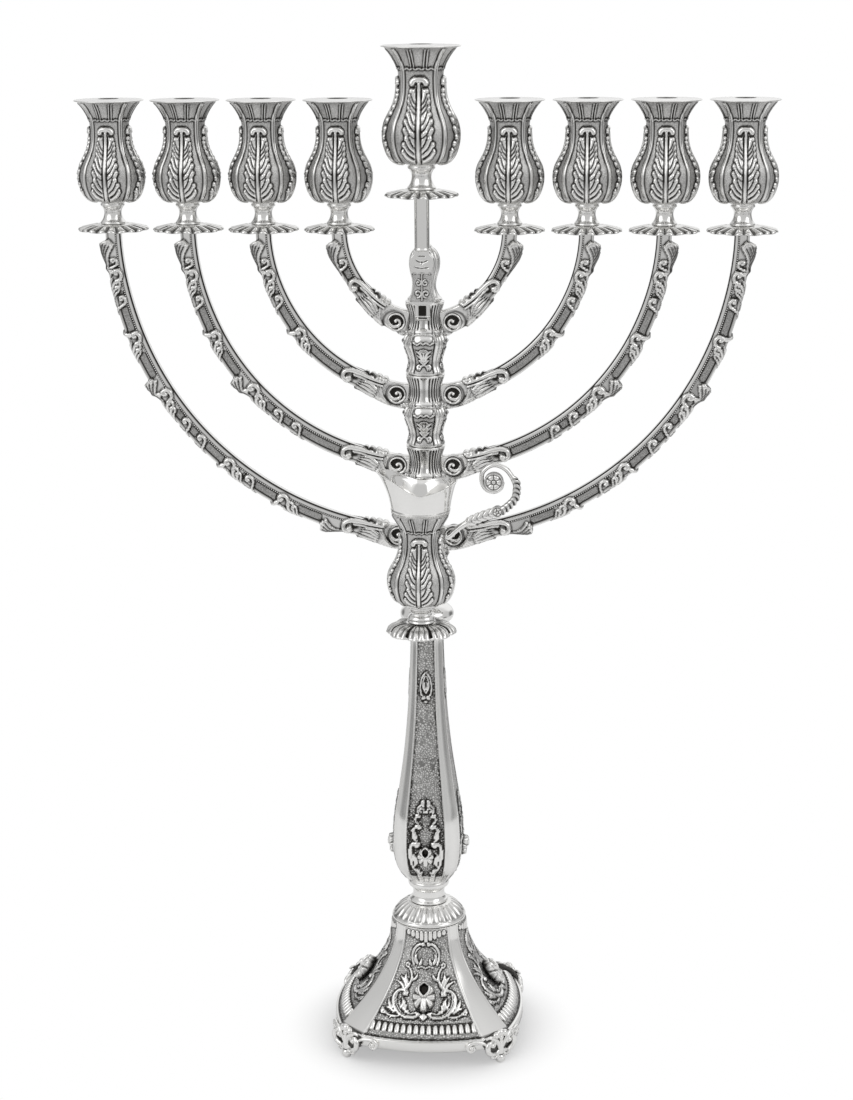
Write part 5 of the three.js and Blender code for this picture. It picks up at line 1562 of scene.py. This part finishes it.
def jug_foot_skin(columns=256, petals=8):
    parts = [
        [(0.5, 1.4), (10, 1.1), (18.6, 0.35)],
        [(19.4, 0.1), (20.4, 0.05), (20.8, 0.7), (20.3, 1.3)],
        [(19.8, 1.6), (18.4, 3.2), (16.2, 4.5), (13.2, 5.4), (10.4, 5.8), (8.9, 6.0)],
        [(8.6, 6.05), (6, 6.05), (2.4, 6.05)],
        [(2.3, 6.0), (2.3, 2.7)],
        [(2.2, 2.6), (0.5, 2.6)],
    ]
    rows, marks = profile(parts, 0.6, {0: 4, 3: 4, 4: 3, 5: 3})
    around = angles(columns)
    share = rows[:, :1] / 20.8
    big = np.abs(np.cos(petals / 2 * around))
    fine = np.abs(np.sin(petals * 2 * around))
    run = (marks == 2)[:, None]
    fade = smooth(0.44, 0.6, share)
    height = np.where(run, fade * (0.8 * fine ** 0.7 - 0.5 + 1.3 * (big ** 0.5 - 0.7)), 0)
    edge = 1 - 0.1 * smooth(0.7, 1.0, share) * (1 - big ** 0.7) - 0.02 * smooth(0.8, 1.0, share) * (1 - fine)
    edge = np.where((marks <= 3)[:, None], edge, 1)
    grid = turned(rows, columns, height)
    grid[..., :2] *= edge[..., None]
    gaps = 1.2 * smooth(0.45, 0.05, big) + 0.8 * smooth(0.62, 0.45, share)
    dark = np.where(run, np.clip(fade * 0.85 * (1 - fine) ** 1.3 + gaps, 0, 1), 0.05)
    return Skin().add(grid, dark)


def jug_body_skin(columns=240):
    wide, tall, bottom = 19.0 / 18.8, JUG_BODY_HEIGHT / 57.6, JUG_BODY_BOTTOM
    top = bottom + JUG_BODY_HEIGHT
    body = TULIP + [(15.8, 54.8), (16.8, 57.5)]
    inner = [(r * wide - 1.6, z * tall + bottom) for r, z in body if 6 < z < 57]
    parts = [
        [(0.5, 3.1), (1.9, 2.95)],
        [(2.0, 3.1), (2.0, 6.3)],
        [(2.1, 6.35), (7.6, 6.35)],
        [(8.0, 6.5), (8.3, 7.0), (7.9, 7.6)],
        [(7.7, 7.8), (8.0, 8.9), (7.3, 10.2), (6.3, 11.4), (6.4, 12.8), (7.4, 14.2)],
        [(7.7, 14.5), (8.0, 15.0), (7.7, 15.5)],
        [(7.8, 15.7), (8.5, 16.1), (8.7, 16.8), (8.5, 17.4)],
        [(r * wide, z * tall + bottom) for r, z in body],
        [(16.6, top - 0.02), (15.6, top - 0.02)],
        inner[::-1],
        [(13.0, bottom + 4.9), (0.5, bottom + 4.5)],
    ]
    rows, marks = profile(parts, 0.5, {0: 3, 1: 3, 2: 4, 8: 2, 9: 5, 10: 4})
    here = marks == 7
    height, patina, ground = leafed_layers(rows, here, (rows[here, 1:] - bottom) / tall, columns)
    # the inside of the mouth is painted darker as shade
    patina[marks >= 9] = 0.35
    skin = Skin().add(turned(rows, columns, height, offset=0.5 - columns // 4 / 2), patina, ground)
    # hook: an arm behind the body and the tongue that drops into the pocket
    offset, hook = JUG_REACH - TONGUE_REACH, JUG_HOOK_RISE
    skin.add(box_rows((-2.4, 11.6, hook), (2.4, offset + 0.9, hook + 2.8)), 0.1)
    # the tongue is painted dark: oxide, and the shade of the pocket it hangs in
    return skin.add(box_rows((-2.4, offset - 0.9, hook - 7.5), (2.4, offset + 0.9, hook + 0.5), 0.2), 0.9)


def jug_collar_skin(columns=160):
    foot, lip, height = 17.1, 21.4, 13.2
    around = angles(columns)
    spread = np.clip(-np.sin(around), 0, 1) ** 6
    swing = np.sin(around - 0.07)
    at_spout, at_handle = np.sqrt(swing ** 2 + 0.04) - 0.2, np.sqrt(swing ** 2 + 0.03) - 0.173
    rise = np.where(swing < 0, 12.6 * at_spout, 5.8 * at_handle)
    rows = np.vstack([
        through([(foot - 1.2, 0.0), (foot, 0.012), (foot + 0.15, 0.05)], 10),
        through([(foot + 0.05, 0.062), (foot - 0.1, 0.075)], 3),
        through([(foot - 0.15, 0.07), (foot + 0.3, 0.2), (foot + 1.1, 0.45), (foot + 2.7, 0.8),
                 (lip - 0.25, 0.975)], 44),
        through([(lip - 0.05, 0.985), (lip, 0.995), (lip - 0.2, 1.0), (lip - 0.75, 0.997),
                 (lip - 0.95, 0.985)], 12),
        through([(lip - 1.2, 0.96), (foot + 1.8, 0.8), (foot - 0.1, 0.4), (foot - 1.1, 0.1),
                 (foot - 1.25, 0.02)], 40),
    ])
    level = rows[:, 1:]
    radius = rows[:, :1] + 4.4 * spread * level ** 2
    z = level * (height + rise)
    wobble = 1 + 0.0035 * np.sin(3 * around + 1.1) * level
    grid = np.stack([radius * wobble * np.sin(around), -radius * wobble * np.cos(around), z], -1)
    patina = np.zeros(grid.shape[:2])
    patina[10:13] = 0.45
    return Skin().add(grid, patina, ring=True)


# Height of the bud on the handle above the floor
BUD_TOP = 342.0


def jug_handle_skin():
    root_reach, root = 19.4 * 0.72 + SEAT_GAP, JUG_BODY_BOTTOM + JUG_WAIST
    scroll_x, scroll_z, bow = 42.2, root + 32.9, 17.0
    # the bow winds in from its lowest point, each place given by its angle and its share of the bow
    shares = ((-75, 1), (-43, 0.89), (-21, 0.78), (0, 0.7), (45, 0.6), (90, 0.585), (135, 0.505), (180, 0.4),
              (225, 0.36), (270, 0.34), (315, 0.32), (360, 0.3))
    wound = []
    for degrees, share in shares:
        a = math.radians(degrees)
        wound.append((scroll_x + share * bow * math.cos(a), scroll_z + share * bow * math.sin(a)))
    bow_x, bow_z = wound[0]
    climb = ((0, 0), (0.07, 0.03), (0.29, 0.4), (0.59, 0.7), (0.86, 0.9))
    line = through([(mix(root_reach, bow_x, x), mix(root, bow_z, z)) for x, z in climb] + wound, 260)
    tangent = unit(np.gradient(line, axis=0))
    run = run_along(line)
    length = run[-1]
    waist = np.interp(bow_x - 2, line[:130, 0], run[:130])
    thick = np.interp(run, (0, 4, waist * 0.6, waist, waist + 18, waist + 34, length),
                      (1.9, 1.6, 1.8, 1.9, 1.6, 1.4, 1.25))
    wide = np.interp(run, (0, waist, waist + 34, length), (2.0, 2.0, 1.9, 1.7))
    feather = (smooth(waist - 1, waist + 2, run) * smooth(waist + 26, waist + 22, run))[:, None]
    leafy = (smooth(waist * 0.42, waist * 0.5, run) * smooth(waist + 1, waist - 2, run))[:, None]
    around = angles(40)
    u, v = np.cos(around)[None], np.sin(around)[None]
    run = run[:, None]
    comb = np.abs(np.sin(np.pi * (run - 2.2 * np.abs(v)) / 2.7)) ** 0.7
    outside = np.clip(u, 0, 1)
    curls = 1.3 * np.abs(np.sin(run * 0.9 + 2.2 * v)) ** 0.8 * (0.6 + 0.4 * np.abs(u))
    grow = feather * outside * (1.9 * comb - 0.3) + leafy * curls
    reach = (thick[:, None] + grow) * u
    grid = np.stack([line[:, None, 0] + tangent[:, None, 1] * reach, -(wide[:, None] + 0.35 * grow) * v,
                     line[:, None, 1] - tangent[:, None, 0] * reach], -1)
    dark = feather * (0.5 + outside) * (1 - comb) * 1.9 + leafy * 0.8 * smooth(0.45, 0.1, curls)
    skin = Skin().add(grid, np.clip(dark, 0, 1))
    # small flower on the bud, and the rosette in its ring
    for x, z, radius, petals, half in (
            (44.3, BUD_TOP - JUG_BOTTOM, 3.1, 5, 2.9),
            (scroll_x, scroll_z, 5.5, 6, 2.8)):
        skin.join(flower_skin(radius, petals, half).moved(shift=(x, 0, z)))
    return skin


def flower_skin(radius, petals, half):
    """A flower on both faces of a disc, looking along Y."""
    rings, columns = 16, 16 * petals
    share = np.linspace(0, 1, rings + 1)[1:, None]
    around = angles(columns)
    petal = np.abs(np.cos(petals / 2 * around))
    rise = 0.9 * smooth(0.24, 0.42, share) * smooth(0.86, 0.62, share) * petal ** 0.6
    rise = rise + 0.8 * smooth(0.24, 0.12, share)
    rise = rise + 0.75 * smooth(0.84, 0.9, share) * smooth(1.02, 0.96, share)
    from_gap = np.abs(around * petals / (2 * np.pi) % 1 - 0.5)
    rise = rise - 0.15 * smooth(0.3, 0.6, share) * smooth(0.06, 0.0, from_gap)
    x, z = share * radius * np.cos(around), share * radius * np.sin(around)
    front = np.stack([x, -(half - 0.9 + rise), z], -1)
    dark = np.clip(0.95 - 1.6 * rise, 0, 1) + 0 * x
    return Skin().add(*both_faces(front, dark), flip=True)


# The pieces in their places

DOME_HEIGHT = 10.3
NECK_HEIGHT = 16.1
ROD_HEIGHT = 31.5
DOME_BOTTOM = FLARE_BOTTOM + FLARE_HEIGHT + SEAT_GAP
NECK_BOTTOM = DOME_BOTTOM + DOME_HEIGHT + SEAT_GAP
VASE_BOTTOM = NECK_BOTTOM + NECK_HEIGHT + SEAT_GAP
KNOP_BOTTOM = VASE_BOTTOM + VASE_HEIGHT + SEAT_GAP
MODULE_BOTTOM = LOWEST_COLLAR + COLLAR_TOP_RISE - MODULE_HEIGHT
COLUMN_TOP_BOTTOM = TOP_COLLAR + COLLAR_TOP_RISE + SEAT_GAP
ROD_BOTTOM = COLUMN_TOP_BOTTOM + BRACKET_HEIGHT + SEAT_GAP
SERVING_PAN_BOTTOM = ROD_BOTTOM + ROD_HEIGHT + SEAT_GAP
SERVING_CUP_BOTTOM = SERVING_PAN_BOTTOM + PAN_HEIGHT
SERVING_CUP_SCALE = 1.129
PAN_RADIUS = 20.8
SERVING_PAN_RADIUS = 21.5
JUG_BOTTOM = LOWEST_COLLAR + COLLAR_TOP_RISE + SEAT_GAP - JUG_HOOK_RISE


def at_height(skin, z, y=0):
    """A copy raised to its place on the stem axis, or in front of it."""
    return skin.moved(shift=(0, y, z))


cup, pan = cup_skin(), pan_skin(PAN_RADIUS)
bead_lines = []
for pair in range(ARM_PAIRS):
    arm, bead_line = arm_skin(pair)
    for hand in (-1, 1):
        for face in (-1, 1):
            bead_lines.append(bead_line * np.array([hand, face, 1]))
    for side, hand in (("left", -1), ("right", 1)):
        label = f"{side}_{pair + 1}"
        x = hand * (INNER_ARM_REACH + pair * ARM_SPACING)
        cast_piece(f"arm_{label}_chased", arm.moved(mirror=hand < 0), f"arm_{label}")
        polished_piece(f"pan_{label}_petalled", pan.moved(shift=(x, 0, PAN_BOTTOM)), f"pan_{label}")
        cast_piece(f"cup_{label}_leafed", cup.moved(shift=(x, 0, CUP_BOTTOM)), f"cup_{label}")

arm_beads = grown("arm_bead_rows", bead_lines, bead_row_tree(),
                  Bead_Radius=0.00042, Bead_Step=0.00128, Finish=CAST)
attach(arm_beads, "stand")

make("base_skirt_stamped", skirt_skin(), STIPPLED, "stand", ["base_skirt"])
base_gadroons = grown("base_gadroons", gadroon_guides(), gadroon_tree(), Lobe_Count=17, Lobe_Width=0.0031,
                      Lobe_Height=0.0079, Lobe_Rise=0.0013, Lean=GADROON_LEAN, Finish=STIPPLED)
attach(base_gadroons, "stand")
foot = foot_skin()
for k, corner in enumerate(("front_right", "back_right", "back_left", "front_left")):
    cast_piece(f"foot_{corner}_openwork", foot.moved(turn=(k - 0.5) * math.pi / 2), f"foot_{corner}")
polished_piece("fluted_dome_polished", at_height(dome_skin(), DOME_BOTTOM), "fluted_dome")
polished_piece("base_neck_polished", at_height(neck_skin(), NECK_BOTTOM), "base_neck")
vase = at_height(vase_skin(), VASE_BOTTOM)
make("vase_stem_chased", vase, STIPPLED, "stand", ["vase_stem"])
base_boss = at_height(leaf_boss(7.4, 4.6, 1.3).tilted(math.radians(51)), 36.7, -38.3)
vase_boss = at_height(leaf_boss(5.2, 3.4, 1.32).tilted(math.radians(93)), VASE_BOTTOM + 20.2, -20.2)
for k, side in enumerate(("front", "right", "back", "left")):
    for place, boss in (("base", base_boss), ("vase", vase_boss)):
        node = f"{place}_rosette_{side}"
        cast_piece(node + "_leafed", boss.moved(turn=k * math.pi / 2), node)
polished_piece("stem_knop_polished", at_height(knop_skin(), KNOP_BOTTOM), "stem_knop")
module = module_skin()
for pair in range(ARM_PAIRS):
    height = MODULE_BOTTOM + (ARM_PAIRS - 1 - pair) * COLLAR_SPACING
    cast_piece(f"column_module_{pair + 1}_fluted", at_height(module, height), f"column_module_{pair + 1}")
cast_piece("column_top_ribbed", at_height(column_top_skin(), COLUMN_TOP_BOTTOM), "column_top")

keeper = keeper_skin()
polished_piece("serving_light_keeper_windowed", at_height(keeper, COLUMN_TOP_BOTTOM), "serving_light_keeper")
polished_piece("jug_keeper_windowed", at_height(keeper, LOWEST_COLLAR + COLLAR_TOP_RISE), "jug_keeper")

serving_bracket = at_height(bracket_skin(), COLUMN_TOP_BOTTOM)
serving_rod = at_height(rod_skin(), ROD_BOTTOM, -SERVER_REACH)
serving_pan = at_height(pan_skin(SERVING_PAN_RADIUS), SERVING_PAN_BOTTOM, -SERVER_REACH)
serving_cup = cup.moved(scale=SERVING_CUP_SCALE, shift=(0, -SERVER_REACH, SERVING_CUP_BOTTOM))
cast_piece("serving_bracket_engraved", serving_bracket, "serving_bracket", "serving_light")
polished_piece("serving_rod_turned", serving_rod, "serving_rod", "serving_light")
polished_piece("serving_pan_petalled", serving_pan, "serving_pan", "serving_light")
cast_piece("serving_cup_leafed", serving_cup, "serving_cup", "serving_light")

jug_foot = at_height(jug_foot_skin(), JUG_BOTTOM, -JUG_REACH)
jug_body = at_height(jug_body_skin(), JUG_BOTTOM, -JUG_REACH)
jug_collar = at_height(jug_collar_skin(), JUG_BOTTOM + JUG_COLLAR_BOTTOM, -JUG_REACH)
jug_handle = at_height(jug_handle_skin(), JUG_BOTTOM, -JUG_REACH)
polished_piece("jug_foot_petalled", jug_foot, "jug_foot", "oil_jug")
cast_piece("jug_body_leafed", jug_body, "jug_body", "oil_jug")
polished_piece("jug_collar_wavy", jug_collar, "jug_collar", "oil_jug")
cast_piece("jug_handle_feathered", jug_handle, "jug_handle", "oil_jug")

for name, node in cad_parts.items():
    if not node.hide_render:
        node.data.materials.clear()
        node.data.materials.append(POLISHED)


# Room, light and camera

TENT_LEVEL = 0.56
# Softer and darker patches of the tent: azimuth (0 is the front), elevation, inner and outer edge
# in degrees, and how much they add
TENT_PATCHES = (
    (-52, 30, 10, 28, 0.55), (60, 34, 8, 24, 0.5), (0, 88, 10, 60, 0.25), (165, 25, 16, 40, 0.35),
    (-150, -10, 10, 30, 0.3), (4, -15, 3, 8, -0.42), (-130, 4, 8, 24, -0.38), (132, 0, 8, 24, -0.38),
    (30, -16, 3, 9, -0.2), (-26, -18, 3, 9, -0.2), (-84, -12, 4, 14, -0.3), (88, -14, 4, 14, -0.3))


def white_room():
    """A tent that is plain white to the camera, and that the silver mirrors with its patches."""
    world = bpy.data.worlds.new("studio_tent")
    bpy.context.scene.world = world
    world.use_nodes = True
    tree = world.node_tree
    node = node_maker(tree)
    combine = math_maker(node)
    direction = node("ShaderNodeTexCoord").outputs["Generated"]
    level = TENT_LEVEL
    for azimuth, elevation, inner, outer, strength in TENT_PATCHES:
        a, e = math.radians(azimuth), math.radians(elevation)
        aim = (math.sin(a) * math.cos(e), -math.cos(a) * math.cos(e), math.sin(e))
        towards = node("ShaderNodeVectorMath", {0: direction, 1: aim}, operation="DOT_PRODUCT")
        patch = node("ShaderNodeMapRange", {
            "Value": towards.outputs["Value"],
            "From Min": math.cos(math.radians(outer)),
            "From Max": math.cos(math.radians(inner)),
        }, interpolation_type="SMOOTHSTEP")
        level = combine("ADD", level, combine("MULTIPLY", patch.outputs["Result"], strength))
    grey = node("ShaderNodeCombineColor", {0: level, 1: level, 2: level}).outputs[0]
    seen = node("ShaderNodeLightPath").outputs["Is Camera Ray"]
    choose = node("ShaderNodeMix", {"Factor": seen, "A": grey, "B": (1, 1, 1, 1)}, data_type="RGBA")
    background = tree.nodes["Background"]
    background.inputs["Strength"].default_value = 1
    tree.links.new(choose.outputs["Result"], background.inputs["Color"])


def soft_lamp(name, place, aim, size, power):
    data = bpy.data.lights.new(name, "AREA")
    data.shape = "SQUARE"
    data.size = size
    data.energy = power
    lamp = bpy.data.objects.new(name, data)
    bpy.context.scene.collection.objects.link(lamp)
    lamp.location = place
    lamp.rotation_euler = (Vector(aim) - Vector(place)).to_track_quat("-Z", "Y").to_euler()


def pale_floor():
    """A white sheet that takes a soft shadow near the feet and fades into the white room."""
    mesh = bpy.data.meshes.new("floor_sheet")
    half = 0.8
    corners = [(-half, -half, 0), (half, -half, 0), (half, half, 0), (-half, half, 0)]
    mesh.from_pydata(corners, [], [(0, 1, 2, 3)])
    floor = bpy.data.objects.new("floor_sheet", mesh)
    bpy.context.scene.collection.objects.link(floor)
    material = bpy.data.materials.new("white_table")
    material.use_nodes = True
    tree = material.node_tree
    shader = tree.nodes["Principled BSDF"]
    shader.inputs["Base Color"].default_value = (0.93, 0.93, 0.93, 1)
    shader.inputs["Roughness"].default_value = 0.6
    shader.inputs["Specular IOR Level"].default_value = 0.2
    node = node_maker(tree)
    place = node("ShaderNodeTexCoord").outputs["Object"]
    reach = node("ShaderNodeVectorMath", {0: place}, operation="LENGTH").outputs["Value"]
    fade = node("ShaderNodeMapRange", {"Value": reach, "From Min": 0.058, "From Max": 0.094, "To Min": 0.42},
                interpolation_type="SMOOTHSTEP").outputs["Result"]
    seen = node("ShaderNodeLightPath").outputs["Is Camera Ray"]
    share = math_maker(node)("MULTIPLY", seen, fade)
    glow = node("ShaderNodeEmission", {"Strength": 1.0}).outputs[0]
    blend = node("ShaderNodeMixShader", {0: share, 1: shader.outputs[0], 2: glow})
    tree.links.new(blend.outputs[0], tree.nodes["Material Output"].inputs["Surface"])
    mesh.materials.append(material)


white_room()
pale_floor()
soft_lamp("left_softbox", (-0.9, -0.9, 1.1), (0, 0, 0.3), 0.9, 1.35)
soft_lamp("right_softbox", (1.1, -0.5, 1.2), (0, 0, 0.3), 0.8, 1.2)

camera_data = bpy.data.cameras.new("camera")
camera_data.sensor_fit = "VERTICAL"
camera_data.sensor_height = 36
camera_data.lens = 74.6
camera_data.clip_start = 0.05
camera = bpy.data.objects.new("camera", camera_data)
bpy.context.scene.collection.objects.link(camera)
azimuth, pitch, roll = math.radians(5), math.radians(14.65), math.radians(-0.4)
distance, height = 1.312, 0.6516
camera.location = (distance * math.sin(azimuth), -distance * math.cos(azimuth), height)
look = Matrix.Rotation(azimuth, 4, "Z") @ Matrix.Rotation(math.pi / 2 - pitch, 4, "X")
look = look @ Matrix.Rotation(roll, 4, "Z")
camera.rotation_euler = look.to_euler()
bpy.context.scene.camera = camera
bpy.context.scene.view_settings.view_transform = "Standard"
